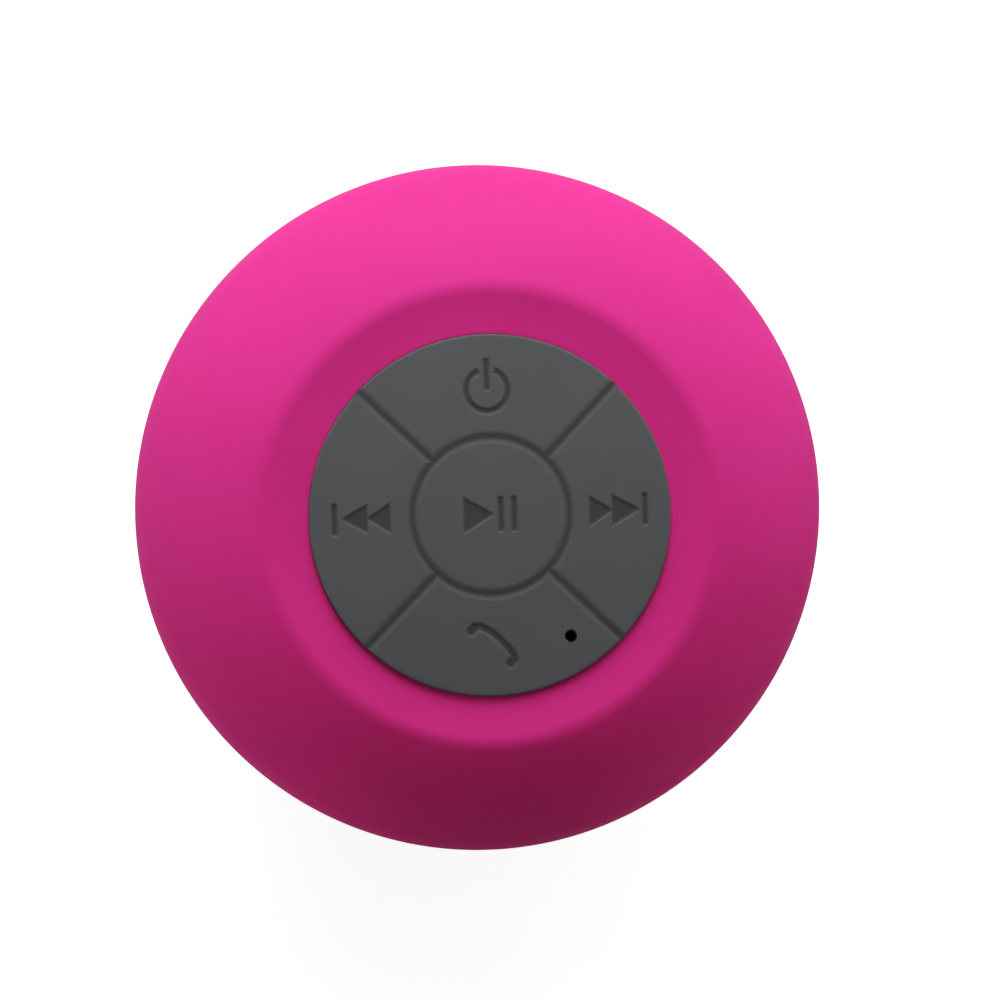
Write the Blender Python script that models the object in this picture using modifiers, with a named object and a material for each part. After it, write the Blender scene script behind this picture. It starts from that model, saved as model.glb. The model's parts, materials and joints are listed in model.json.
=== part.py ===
"""Round shower speaker with a suction cup, a silicone sleeve and a five-key silicone keypad.

Frame: the origin is the centre of the suction cup's rim, on the wall plane. +Z points out of the wall, through the
keypad. +Y is the top of the speaker as it hangs (the power key), and the charging port is at -Y.
All driving dimensions are in millimetres and are turned into metres where the geometry is made.
"""

import math

import bmesh
import bpy
from mathutils import Matrix, Vector

MM = 0.001

# ---- driving dimensions (mm) -------------------------------------------------------------------------------------
BODY_R = 43.0  # largest radius, at the rim of the sleeve
RIM_Z = 35.0  # height of the largest radius above the wall
RIM_ROUND = 11.0  # rounding of the dome into the rim
UNDER_ROUND = 6.0  # rounding of the sleeve below the rim
DOME_OUT_DEG, DOME_IN_DEG, DISH_DEG = 55.0, 27.0, -4.0  # slope of the dome, from its rim to its shoulder and the dish
SHOULDER_R, DISH_R = 28.65, 26.75  # shoulder between the dome and the dish
SLEEVE_T, SHELL_T, FIT = 1.6, 1.8, 0.3
REST = 0.05  # gap left between pieces that rest on each other

PAD_R = 21.8  # keypad
PAD_OPEN_R = 22.2  # opening in the sleeve
PAD_TOP_Z, PAD_CROWN = 54.2, 1.1
KEY_RING_R = 9.45  # middle of the groove round the centre key
KEY_GAP = 0.6
KEY_BOTTOM_Z = 51.0
KEY_TRAVEL = 0.5
NUB_R, NUB_Z = 1.6, 47.25
NUB_AT = {"play": (0.0, 0.0), "power": (0.0, 15.7), "previous": (-15.7, 0.0), "next": (15.7, 0.0), "call": (0.0, -15.7)}
SECTOR_DEG = {"next": 0.0, "power": 90.0, "previous": 180.0, "call": 270.0}
MIC_AT, MIC_HOLE_R = (9.2, -14.9), 0.65
LED_AT = (5.2, -17.8)

WEB_R, WEB_Z0, WEB_Z1 = 23.6, 49.85, 50.4
BED_Z0, BED_Z1, BED_R = 48.0, 49.8, 24.0

BOARD_R, BOARD_Z0, BOARD_Z1 = 22.4, 44.0, 45.0
SWITCH_SIDE, SWITCH_Z1 = 4.2, 46.5
PLUNGER_R, PLUNGER_Z0, PLUNGER_Z1 = 1.1, 46.1, 46.95
BOARD_SCREW_AT = [(17.3, 10.0), (-17.3, 10.0), (-5.0, -19.4)]

SEAM_Z = 33.3  # bottom edge of the front shell
COVER_BOTTOM_Z, COVER_FLOOR_T, COVER_TOP_Z = 16.0, 2.0, 32.6
CONE_R0, CONE_Z0, CONE_R1, CONE_Z1 = 31.0, 16.6, 40.2, 31.5  # tapered wall of the back cover, outer line
WALL_T = 2.0
SLOTS, SLOT_W, SLOT_L, SLOT_Z = 24, 3.0, 5.4, 20.95
SCREW_R, SCREW_RING = 1.2, 26.0  # housing screws
SCREW_DEG = [45.0, 135.0, 225.0, 315.0]

BAFFLE_Z0, BAFFLE_Z1, DRIVER_HOLE_R = 24.0, 25.6, 17.6
PORT_Z = 28.45  # middle of the charging port on the tapered wall
FLAP_W, FLAP_L, FLAP_T = 12.8, 6.4, 1.0
FLAP_HINGE_T, FLAP_HINGE_D = -2.7, 0.5  # hinge axis: along the wall, and below its surface

CUP_R, CUP_STEM_R = 30.0, 8.0

FINE, BIG, MID, SMALL, TINY = 64, 40, 28, 20, 12  # facets round a turned piece

# ---- scene -------------------------------------------------------------------------------------------------------
for old in list(bpy.data.objects):
    bpy.data.objects.remove(old, do_unlink=True)

PARTS = bpy.data.collections.new("shower_speaker")
CUTTERS = bpy.data.collections.new("cutters")
bpy.context.scene.collection.children.link(PARTS)
bpy.context.scene.collection.children.link(CUTTERS)
CUTTERS.hide_render = True


def material(name, colour, roughness, metallic=0.0):
    mat = bpy.data.materials.new(name)
    mat.use_nodes = True
    shader = mat.node_tree.nodes["Principled BSDF"]
    shader.inputs["Base Color"].default_value = (*colour, 1.0)
    shader.inputs["Roughness"].default_value = roughness
    shader.inputs["Metallic"].default_value = metallic
    mat.diffuse_color = (*colour, 1.0)
    return mat


PINK = material("pink_silicone", (0.72, 0.03, 0.24), 0.55)
GREY_KEY = material("grey_silicone", (0.085, 0.088, 0.095), 0.6)
GREY_SHELL = material("grey_abs", (0.07, 0.072, 0.078), 0.5)
WHITE_ABS = material("white_abs", (0.75, 0.75, 0.72), 0.45)
BLACK_ABS = material("black_abs", (0.02, 0.02, 0.022), 0.5)
SEAL = material("black_rubber", (0.02, 0.02, 0.02), 0.8)
GREEN_BOARD = material("green_board", (0.02, 0.14, 0.05), 0.4)
STEEL = material("steel", (0.62, 0.62, 0.64), 0.3, 1.0)
BRASS = material("brass", (0.75, 0.55, 0.22), 0.3, 1.0)
FERRITE = material("ferrite", (0.05, 0.05, 0.055), 0.6)
COPPER = material("copper", (0.8, 0.4, 0.2), 0.35, 1.0)
PAPER = material("cone_film", (0.05, 0.05, 0.05), 0.5)
SPIDER_CLOTH = material("spider_cloth", (0.55, 0.36, 0.12), 0.8)
CHIP = material("chip_black", (0.015, 0.015, 0.016), 0.4)
BATTERY_FOIL = material("battery_foil", (0.6, 0.6, 0.62), 0.35, 0.6)
RED_WIRE = material("red_wire", (0.6, 0.02, 0.02), 0.4)
BLACK_WIRE = material("black_wire", (0.02, 0.02, 0.02), 0.4)
RIBBON = material("ribbon_cable", (0.6, 0.6, 0.58), 0.5)
LED_CLEAR = material("led_lens", (0.85, 0.9, 0.95), 0.1)


# ---- modelling helpers -------------------------------------------------------------------------------------------
def add(name, mesh, collection=PARTS):
    obj = bpy.data.objects.new(name, mesh)
    collection.objects.link(obj)
    return obj


def bake(obj):
    """Replaces the object's mesh by its evaluated one, so that its shading can be set face by face."""
    bpy.context.view_layer.update()
    graph = bpy.context.evaluated_depsgraph_get()
    mesh = bpy.data.meshes.new_from_object(obj.evaluated_get(graph), depsgraph=graph)
    obj.modifiers.clear()
    obj.data = mesh
    mesh.name = obj.name
    return obj


def turned(name, profile, segments, collection=PARTS):
    """A profile of (radius, height) turned round Z. It runs down the outer side. One that starts and ends on the axis is open, and any other is closed."""
    mesh = bpy.data.meshes.new(name)
    n = len(profile)
    edges = [(i, i + 1) for i in range(n - 1)]
    if not (profile[0][0] == 0 and profile[-1][0] == 0):
        edges.append((n - 1, 0))
    mesh.from_pydata([(r * MM, 0.0, z * MM) for r, z in profile], edges, [])
    obj = add(name, mesh, collection)
    screw = obj.modifiers.new("Screw", "SCREW")
    screw.axis = "Z"
    screw.angle = math.tau
    screw.steps = screw.render_steps = segments
    screw.use_merge_vertices = True
    screw.merge_threshold = 0.00001
    return bake(obj)


def box(name, size, at, turn=0.0, collection=PARTS, bevel=0.0):
    """A box of that size in mm, centred at that point, turned round Z in degrees."""
    work = bmesh.new()
    bmesh.ops.create_cube(work, size=1.0)
    bmesh.ops.scale(work, vec=Vector(size) * MM, verts=work.verts)
    if bevel:
        bmesh.ops.bevel(work, geom=work.edges[:], offset=bevel * MM, segments=2, profile=0.5, affect="EDGES")
    mesh = bpy.data.meshes.new(name)
    work.to_mesh(mesh)
    work.free()
    obj = add(name, mesh, collection)
    obj.location = Vector(at) * MM
    obj.rotation_euler = (0.0, 0.0, math.radians(turn))
    return obj


def cylinder(name, radius, z0, z1, at=(0.0, 0.0), segments=TINY, collection=PARTS, top_radius=None):
    work = bmesh.new()
    bmesh.ops.create_cone(
        work, cap_ends=True, segments=segments, radius1=radius * MM,
        radius2=(radius if top_radius is None else top_radius) * MM, depth=(z1 - z0) * MM,
    )
    mesh = bpy.data.meshes.new(name)
    work.to_mesh(mesh)
    work.free()
    obj = add(name, mesh, collection)
    obj.location = Vector((at[0], at[1], (z0 + z1) / 2)) * MM
    return obj


def boolean(obj, operation, other):
    """Cuts, joins or intersects with the EXACT solver, and moves the other shape among the cutters."""
    mod = obj.modifiers.new(operation.title(), "BOOLEAN")
    mod.operation = operation
    mod.solver = "EXACT"
    mod.object = other
    bake(obj)
    if other.name in PARTS.objects:
        PARTS.objects.unlink(other)
        CUTTERS.objects.link(other)
    other.hide_render = True
    other.hide_viewport = True
    other.display_type = "WIRE"
    return obj


def many(name, shapes):
    """Joins helper shapes that don't touch each other into one cutter."""
    work = bmesh.new()
    for shape in shapes:
        mesh = shape.data.copy()
        mesh.transform(shape.matrix_basis)
        work.from_mesh(mesh)
        bpy.data.meshes.remove(mesh)
        bpy.data.objects.remove(shape, do_unlink=True)
    mesh = bpy.data.meshes.new(name)
    work.to_mesh(mesh)
    work.free()
    return add(name, mesh, CUTTERS)


def hole_cutter(name, radius, z0, z1, places, segments=TINY):
    return many(name, [cylinder("c", radius, z0, z1, at, segments, CUTTERS) for at in places])


def finish(obj, mat, smooth_deg=32.0):
    obj.data.materials.clear()
    obj.data.materials.append(mat)
    obj.data.shade_smooth()
    obj.data.set_sharp_from_angle(angle=math.radians(smooth_deg))
    return obj


def joint_empty(name, at, children):
    """An empty on a joint's axis, which carries the pieces that move on it."""
    empty = bpy.data.objects.new(name, None)
    PARTS.objects.link(empty)
    empty.location = Vector(at) * MM
    empty.empty_display_size = 0.004
    bpy.context.view_layer.update()
    for child in children:
        child.parent = empty
        child.matrix_parent_inverse = empty.matrix_world.inverted()
    return empty


def wire(name, points, radius, mat):
    """A round wire through points, as a smooth poly line."""
    curve = bpy.data.curves.new(name, "CURVE")
    curve.dimensions = "3D"
    curve.bevel_depth = radius * MM
    curve.bevel_resolution = 1
    curve.use_fill_caps = True
    spline = curve.splines.new("POLY")
    smooth = catmull(points, 3)
    spline.points.add(len(smooth) - 1)
    for point, at in zip(spline.points, smooth):
        point.co = (at[0] * MM, at[1] * MM, at[2] * MM, 1.0)
    obj = add(name, curve)
    graph = bpy.context.evaluated_depsgraph_get()
    mesh = bpy.data.meshes.new_from_object(obj.evaluated_get(graph), depsgraph=graph)
    PARTS.objects.unlink(obj)
    bpy.data.objects.remove(obj)
    work = bmesh.new()
    work.from_mesh(mesh)
    bmesh.ops.remove_doubles(work, verts=work.verts, dist=0.000001)
    bmesh.ops.recalc_face_normals(work, faces=work.faces)
    work.to_mesh(mesh)
    work.free()
    return finish(add(name, mesh), mat, 50.0)


def catmull(points, per_span):
    out = []
    pts = [Vector(p) for p in points]
    pts = [pts[0] * 2 - pts[1], *pts, pts[-1] * 2 - pts[-2]]
    for i in range(1, len(pts) - 2):
        for k in range(per_span):
            t = k / per_span
            a, b, c, d = pts[i - 1], pts[i], pts[i + 1], pts[i + 2]
            out.append(0.5 * ((2 * b) + (c - a) * t + (2 * a - 5 * b + 4 * c - d) * t * t + (3 * b - a - 3 * c + d) * t ** 3))
    out.append(pts[-2])
    return out


# ---- the shape of the sleeve -------------------------------------------------------------------------------------
def dome_point(deg, depth=0.0):
    """A point where the sleeve's outer line slopes down by that angle, moved inwards by depth. Angles over 90 are below the rim."""
    a = math.radians(deg)
    out, inn, dish = (math.radians(x) for x in (DOME_OUT_DEG, DOME_IN_DEG, DISH_DEG))
    rim_r = BODY_R - RIM_ROUND
    if deg > 90.0:
        r, z = BODY_R - UNDER_ROUND + UNDER_ROUND * math.sin(a), RIM_Z + UNDER_ROUND * math.cos(a)
    elif deg >= DOME_OUT_DEG:
        r, z = rim_r + RIM_ROUND * math.sin(a), RIM_Z + RIM_ROUND * math.cos(a)
    else:
        r1, z1 = rim_r + RIM_ROUND * math.sin(out), RIM_Z + RIM_ROUND * math.cos(out)
        k1 = (out - inn) / (r1 - SHOULDER_R)
        if deg >= DOME_IN_DEG:
            r = r1 - (out - a) / k1
            z = z1 + (math.log(math.cos(a)) - math.log(math.cos(out))) / k1
        else:
            z2 = z1 + (math.log(math.cos(inn)) - math.log(math.cos(out))) / k1
            k2 = (inn - dish) / (SHOULDER_R - DISH_R)
            r = SHOULDER_R - (inn - a) / k2
            z = z2 + (math.log(math.cos(a)) - math.log(math.cos(inn))) / k2
    return r - depth * math.sin(a), z - depth * math.cos(a)


def dish_z(radius, depth=0.0):
    """Height of the dish round the keypad, at that radius, that far below its surface."""
    r0, z0 = dome_point(DISH_DEG, depth)
    return z0 - (r0 - radius) * math.tan(math.radians(-DISH_DEG))


def pad_z(radius):
    """Height of the keypad's crowned face."""
    ball = (PAD_R ** 2 + PAD_CROWN ** 2) / (2 * PAD_CROWN)
    return PAD_TOP_Z - ball + math.sqrt(ball ** 2 - radius ** 2)


def cone_r(z):
    """Outer radius of the back cover's tapered wall."""
    return CONE_R0 + (z - CONE_Z0) * (CONE_R1 - CONE_R0) / (CONE_Z1 - CONE_Z0)


# ---- suction cup and what holds it -------------------------------------------------------------------------------
suction_cup = turned(
    "suction_cup",
    [(0.0, 17.6), (4.5, 17.6), (4.5, 15.7), (CUP_STEM_R, 15.7), (CUP_STEM_R, 12.6), (8.7, 11.2), (11.0, 9.9), (15.0, 8.2),
     (21.0, 5.4), (26.0, 3.0), (29.3, 1.3), (CUP_R, 0.7), (CUP_R, 0.0), (29.0, 0.0), (26.0, 1.3), (18.0, 4.3),
     (9.0, 6.3), (0.0, 6.9)],
    BIG,
)
boolean(suction_cup, "DIFFERENCE", cylinder("cup_pocket_cutter", 3.3, 9.5, 19.0, segments=16, collection=CUTTERS))
finish(suction_cup, PINK)

cup_insert = finish(turned("cup_insert", [(1.8, 17.3), (3.0, 17.3), (3.0, 9.8), (1.8, 9.8)], 16), BRASS)
cup_washer = finish(turned("cup_washer", [(1.8, 18.9), (7.0, 18.9), (7.0, 18.1), (1.8, 18.1)], SMALL), STEEL)
cup_screw = finish(
    turned("cup_screw", [(0.0, 20.0), (0.8, 20.9), (1.9, 20.9), (2.9, 20.2), (2.9, 18.95), (1.5, 18.95), (1.5, 11.2), (0.0, 10.4)], 16),
    STEEL,
)

# ---- back cover --------------------------------------------------------------------------------------------------
slope = math.atan2(CONE_R1 - CONE_R0, CONE_Z1 - CONE_Z0)
WALL_H = WALL_T / math.cos(slope)  # wall measured level

back_cover = turned(
    "back_cover",
    [(CONE_R1, COVER_TOP_Z), (CONE_R1, CONE_Z1), (CONE_R0, CONE_Z0), (30.2, 16.15), (29.3, COVER_BOTTOM_Z), (4.8, COVER_BOTTOM_Z),
     (4.8, 18.0), (28.9, 18.0), (cone_r(18.4) - WALL_H, 18.4), (cone_r(30.9) - WALL_H, 30.9), (38.1, 31.3), (38.1, COVER_TOP_Z)],
    BIG,
)
screw_places = [(SCREW_RING * math.cos(math.radians(a)), SCREW_RING * math.sin(math.radians(a))) for a in SCREW_DEG]
for at in screw_places:
    boolean(back_cover, "UNION", cylinder("cover_boss", 3.5, 17.0, 23.6, at, 16, CUTTERS))
boolean(back_cover, "DIFFERENCE", hole_cutter("cover_counterbores", 2.8, 15.0, 20.0, screw_places, 16))
boolean(back_cover, "DIFFERENCE", hole_cutter("cover_screw_holes", 1.6, 19.0, 25.0, screw_places))


def slot_cutters():
    shapes = []
    mid_r = cone_r(SLOT_Z) - WALL_H / 2
    for i in range(SLOTS):
        shape = box("slot", (4.8, SLOT_W, SLOT_L), (0, 0, 0), collection=CUTTERS)
        spin = Matrix.Rotation(math.tau * (i + 0.5) / SLOTS, 4, "Z")
        tip = Matrix.Rotation(slope, 4, "Y")
        shape.matrix_basis = spin @ Matrix.Translation(Vector((mid_r, 0, SLOT_Z)) * MM) @ tip @ Matrix.Translation(Vector((0.6, 0, 0)) * MM)
        shapes.append(shape)
    return many("slot_cutters", shapes)


boolean(back_cover, "DIFFERENCE", slot_cutters())

# The charging port: a local frame on the tapered wall at -Y, with X across, T up the wall and N out of it.
PORT = Vector((0.0, -cone_r(PORT_Z), PORT_Z))
T_AXIS = Vector((0.0, -math.sin(slope), math.cos(slope)))
N_AXIS = Vector((0.0, -math.cos(slope), -math.sin(slope)))


def on_wall(name, width, t0, t1, d0, d1, bevel=0.0):
    """A box square to the wall at the port: t along the wall, d the depth below its surface."""
    shape = box(name, (width, t1 - t0, d1 - d0), (0, 0, 0), collection=CUTTERS, bevel=bevel)
    turn = Matrix((Vector((1, 0, 0)), T_AXIS, N_AXIS)).transposed().to_4x4()
    centre = PORT + T_AXIS * ((t0 + t1) / 2) - N_AXIS * ((d0 + d1) / 2)
    shape.matrix_basis = Matrix.Translation(centre * MM) @ turn
    return shape


boolean(back_cover, "DIFFERENCE", on_wall("port_pocket", 13.4, -3.7, 3.5, -3.0, 1.4))
boolean(back_cover, "DIFFERENCE", box("port_hole", (9.4, 8.0, 3.7), (0.0, -37.0, 28.55), collection=CUTTERS))
finish(back_cover, GREY_SHELL)

# The flap: a plate that follows the tapered wall, with a plug on its inner side.
usb_flap = on_wall("usb_flap", FLAP_W, -FLAP_L / 2, FLAP_L / 2, -2.0, FLAP_T)
CUTTERS.objects.unlink(usb_flap)
PARTS.objects.link(usb_flap)
cone_body = turned("flap_outer_form", [(0.0, 34.0), (cone_r(34.0), 34.0), (cone_r(20.0), 20.0), (0.0, 20.0)], BIG, CUTTERS)
boolean(usb_flap, "INTERSECT", cone_body)
boolean(usb_flap, "UNION", on_wall("flap_plug", 8.4, -1.7, 0.4, 0.6, 2.1, 0.25))
finish(usb_flap, PINK)
hinge_at = PORT + T_AXIS * FLAP_HINGE_T - N_AXIS * FLAP_HINGE_D
joint_empty("joint_usb_flap", hinge_at, [usb_flap])

# ---- baffle and seals --------------------------------------------------------------------------------------------
speaker_baffle = turned(
    "speaker_baffle",
    [(DRIVER_HOLE_R, BAFFLE_Z1), (33.6, BAFFLE_Z1), (32.7, BAFFLE_Z0), (DRIVER_HOLE_R, BAFFLE_Z0)],
    BIG,
)
boolean(speaker_baffle, "DIFFERENCE", hole_cutter("baffle_screw_holes", 1.6, 22.0, 28.0, screw_places))
finish(speaker_baffle, BLACK_ABS)


housing_seal = finish(turned("housing_seal", [(38.2, 33.25), (40.0, 33.25), (40.0, 32.65), (38.2, 32.65)], BIG), SEAL)

# ---- front shell -------------------------------------------------------------------------------------------------
OUTER_ANGLES = [DISH_DEG, 10, 27, 41, 55, 72, 90]
shell_out, shell_in = SLEEVE_T + FIT, SLEEVE_T + FIT + SHELL_T
profile = [(0.0, BED_Z1), (BED_R, BED_Z1), (BED_R, dish_z(BED_R, shell_out))]
profile += [dome_point(a, shell_out) for a in OUTER_ANGLES]
profile += [(dome_point(114.5, shell_out)[0], SEAM_Z), (37.8, SEAM_Z), (37.8, 31.6), (36.9, 31.6), (36.9, 34.6)]
profile += [dome_point(a, shell_in) for a in (78, 55, 34)]
profile += [(29.0, BED_Z0), (0.0, BED_Z0)]
front_shell = turned("front_shell", profile, BIG)
for at in screw_places:
    post = cylinder("shell_post", 3.0, 26.0, 48.9, at, TINY, CUTTERS)
    boolean(front_shell, "UNION", post)
for at in BOARD_SCREW_AT:
    boolean(front_shell, "UNION", cylinder("board_post", 2.3, BOARD_Z1 + REST, 48.4, at, TINY, CUTTERS))
boolean(front_shell, "DIFFERENCE", hole_cutter("post_holes", 1.5, 25.0, 38.0, screw_places))
boolean(front_shell, "DIFFERENCE", hole_cutter("board_post_holes", 1.15, 44.0, 47.6, BOARD_SCREW_AT, 12))
boolean(front_shell, "DIFFERENCE", hole_cutter("nub_holes", 2.3, 46.5, 51.0, list(NUB_AT.values())))
boolean(front_shell, "DIFFERENCE", many("small_holes", [
    cylinder("c", 1.1, 46.5, 51.0, MIC_AT, 12, CUTTERS), cylinder("c", 0.9, 46.5, 51.0, LED_AT, 12, CUTTERS)]))
finish(front_shell, WHITE_ABS)

# ---- silicone sleeve ---------------------------------------------------------------------------------------------
profile = [(PAD_OPEN_R, dish_z(PAD_OPEN_R))]
profile += [dome_point(a) for a in (DISH_DEG, 10, 27, 41, 55, 72, 90, 108, 125)]
profile += [(41.4, 31.2), (40.5, 31.2), (40.5, 32.5)]
profile += [dome_point(a, SLEEVE_T) for a in (112, 90, 72, 55, 41, 27, 10, DISH_DEG)]
profile += [(PAD_OPEN_R, dish_z(PAD_OPEN_R, SLEEVE_T))]
silicone_sleeve = finish(turned("silicone_sleeve", profile, FINE), PINK)

# ---- keypad ------------------------------------------------------------------------------------------------------
keypad_web = turned("keypad_web", [(0.0, WEB_Z1), (WEB_R, WEB_Z1), (WEB_R, WEB_Z0), (0.0, WEB_Z0)], MID)
boolean(keypad_web, "DIFFERENCE", hole_cutter("web_holes", 2.1, 48.0, 52.0, list(NUB_AT.values())))
boolean(keypad_web, "DIFFERENCE", cylinder("web_mic_hole", 0.9, 48.0, 52.0, MIC_AT, 12, CUTTERS))
finish(keypad_web, GREY_KEY)

keys = {}
centre_r = KEY_RING_R - KEY_GAP / 2
keys["play"] = turned(
    "key_play",
    [(0.0, pad_z(0)), (4.5, pad_z(4.5)), (centre_r - 0.4, pad_z(centre_r - 0.4)), (centre_r, pad_z(centre_r) - 0.35),
     (centre_r, KEY_BOTTOM_Z), (NUB_R, KEY_BOTTOM_Z), (NUB_R, NUB_Z), (0.0, NUB_Z)],
    SMALL,
)
sector_r = KEY_RING_R + KEY_GAP / 2


def wedge(name, deg):
    """A quarter prism whose straight sides leave half a groove to the next key."""
    curve = bpy.data.curves.new(name, "CURVE")
    curve.dimensions = "2D"
    curve.fill_mode = "BOTH"
    curve.extrude = 6.0 * MM
    spline = curve.splines.new("POLY")
    tip = KEY_GAP / 2 * math.sqrt(2)
    outline = [(tip, 0.0), (tip + 24.0, -24.0), (tip + 34.0, 0.0), (tip + 24.0, 24.0)]
    spline.points.add(len(outline) - 1)
    for point, (x, y) in zip(spline.points, outline):
        point.co = (x * MM, y * MM, 0.0, 1.0)
    spline.use_cyclic_u = True
    obj = add(name, curve, CUTTERS)
    bpy.context.view_layer.update()
    graph = bpy.context.evaluated_depsgraph_get()
    mesh = bpy.data.meshes.new_from_object(obj.evaluated_get(graph), depsgraph=graph)
    bpy.data.objects.remove(obj)
    work = bmesh.new()
    work.from_mesh(mesh)
    bmesh.ops.remove_doubles(work, verts=work.verts, dist=0.000001)
    bmesh.ops.recalc_face_normals(work, faces=work.faces)
    work.to_mesh(mesh)
    work.free()
    shape = add(name, mesh, CUTTERS)
    shape.matrix_basis = Matrix.Rotation(math.radians(deg), 4, "Z") @ Matrix.Translation((0, 0, 52.0 * MM))
    return shape


for key, deg in SECTOR_DEG.items():
    ring = [(sector_r, KEY_BOTTOM_Z), (sector_r, pad_z(sector_r) - 0.35), (sector_r + 0.4, pad_z(sector_r + 0.4)), (14.0, pad_z(14.0)),
            (18.0, pad_z(18.0)), (PAD_R - 0.5, pad_z(PAD_R - 0.5)), (PAD_R, pad_z(PAD_R) - 0.45), (PAD_R, KEY_BOTTOM_Z)]
    piece = turned("key_" + key, ring, BIG)
    boolean(piece, "INTERSECT", wedge("wedge_" + key, deg))
    boolean(piece, "UNION", cylinder("nub_" + key, NUB_R, NUB_Z, KEY_BOTTOM_Z + 0.6, NUB_AT[key], TINY, CUTTERS))
    keys[key] = piece
boolean(keys["call"], "DIFFERENCE", cylinder("mic_hole", MIC_HOLE_R, 50.0, 55.0, MIC_AT, 12, CUTTERS))

# ---- switches ----------------------------------------------------------------------------------------------------
for key, at in NUB_AT.items():
    base = box("switch_base_" + key, (SWITCH_SIDE, SWITCH_SIDE, SWITCH_Z1 - BOARD_Z1 - REST),
               (at[0], at[1], (SWITCH_Z1 + BOARD_Z1 + REST) / 2))
    boolean(base, "DIFFERENCE", cylinder("switch_bore", 1.35, 45.8, 48.0, at, TINY, CUTTERS))
    finish(base, STEEL)
    plunger = finish(cylinder("plunger_" + key, PLUNGER_R, PLUNGER_Z0, PLUNGER_Z1, at, TINY), BLACK_ABS)
    finish(keys[key], GREY_KEY)
    joint_empty("joint_key_" + key, (at[0], at[1], pad_z(math.hypot(*at))), [keys[key]])
    joint_empty("joint_plunger_" + key, (at[0], at[1], PLUNGER_Z1), [plunger])

# ---- main board and what it carries ------------------------------------------------------------------------------
main_board = cylinder("main_board", BOARD_R, BOARD_Z0, BOARD_Z1, segments=MID)
boolean(main_board, "DIFFERENCE", hole_cutter("board_holes", 1.15, 43.0, 46.0, BOARD_SCREW_AT, 12))
finish(main_board, GREEN_BOARD)
for i, at in enumerate(BOARD_SCREW_AT, 1):
    screw = turned(
        f"board_screw_{i}",
        [(0.0, 47.2), (0.85, 46.7), (0.85, BOARD_Z0 - REST), (1.8, BOARD_Z0 - REST), (1.6, 42.6), (0.6, 42.6), (0.0, 43.2)],
        10,
    )
    screw.location = (at[0] * MM, at[1] * MM, 0.0)
    finish(screw, STEEL)

chip_z = BOARD_Z1 + REST
finish(box("audio_chip", (9.6, 4.0, 1.5), (-8.0, 8.0, chip_z + 0.75), 45.0), CHIP)
finish(box("amplifier_chip", (5.0, 4.0, 1.5), (8.0, 8.0, chip_z + 0.75), -45.0), CHIP)
finish(cylinder("filter_capacitor", 2.1, chip_z, chip_z + 2.4, (-8.6, -8.6), 20), STEEL)
finish(box("status_led", (1.6, 0.9, 0.7), (LED_AT[0], LED_AT[1], chip_z + 0.35), 0.0), LED_CLEAR)
microphone = finish(cylinder("microphone", 2.0, chip_z, chip_z + 1.5, MIC_AT, 20), STEEL)
microphone_boot = turned("microphone_boot", [(0.75, 47.7), (2.8, 47.7), (2.8, chip_z), (2.3, chip_z), (2.3, 46.85), (0.75, 46.85)], TINY)
microphone_boot.location = (MIC_AT[0] * MM, MIC_AT[1] * MM, 0.0)
finish(microphone_boot, SEAL)

# ---- speaker driver, facing the wall -----------------------------------------------------------------------------
speaker_gasket = finish(turned("speaker_gasket", [(17.8, 26.4), (19.8, 26.4), (19.8, 25.65), (17.8, 25.65)], MID), SEAL)
speaker_frame = turned(
    "speaker_frame",
    [(6.6, 35.0), (13.4, 35.0), (13.4, 33.9), (18.0, 28.3), (20.0, 28.1), (20.0, 26.9), (17.1, 26.9), (16.9, 28.0), (12.5, 33.3),
     (12.5, 34.2), (6.6, 34.2)],
    MID,
)
windows = []
for i in range(6):
    window = box("window", (6.0, 5.0, 2.8), (0, 0, 0), collection=CUTTERS)
    window.matrix_basis = Matrix.Rotation(math.tau * i / 6, 4, "Z") @ Matrix.Translation(Vector((15.2, 0, 31.1)) * MM)
    windows.append(window)
boolean(speaker_frame, "DIFFERENCE", many("frame_windows", windows))
finish(speaker_frame, STEEL)

roll = [(17.2 - 1.15 + 1.15 * math.cos(a), 26.6 - 1.15 * math.sin(a)) for a in (math.pi * k / 4 for k in range(5))]
roll_in = [(17.2 - 1.15 + 0.8 * math.cos(a), 26.75 - 1.0 * math.sin(a)) for a in (math.pi * k / 4 for k in range(5))]
speaker_surround = turned(
    "speaker_surround",
    [(17.2, 26.85), (19.6, 26.85), (19.6, 26.45), (17.2, 26.45)] + roll[1:4] + [(14.9, 26.45), (14.2, 26.45), (14.2, 26.85)]
    + [(r, z) for r, z in reversed(roll_in)],
    MID,
)
finish(speaker_surround, SEAL, 60.0)

speaker_cone = finish(
    turned("speaker_cone", [(14.95, 27.3), (14.95, 26.9), (13.9, 26.9), (9.6, 29.2), (5.75, 32.0), (5.75, 32.5), (9.6, 29.8)], MID),
    PAPER, 60.0,
)
dust_cap = finish(
    turned("dust_cap", [(0.0, 30.35), (3.2, 30.6), (5.6, 31.35), (6.1, 31.35), (6.1, 31.0), (3.4, 30.15), (0.0, 29.9)], SMALL),
    PAPER, 60.0,
)
voice_coil = finish(
    turned("voice_coil", [(5.1, 37.6), (5.65, 37.6), (5.45, 31.75), (5.1, 31.75)], SMALL), COPPER
)
spider_pts = [(5.9 + 6.0 * k / 6, 33.55 + (0.28 if k % 2 else -0.12)) for k in range(7)]
speaker_spider = finish(
    turned("speaker_spider", [(r, z + 0.25) for r, z in spider_pts] + [(r, z) for r, z in reversed(spider_pts)], SMALL),
    SPIDER_CLOTH, 60.0,
)
joint_empty("joint_cone", (0.0, 0.0, 32.0), [speaker_cone, dust_cap, voice_coil])

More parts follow.
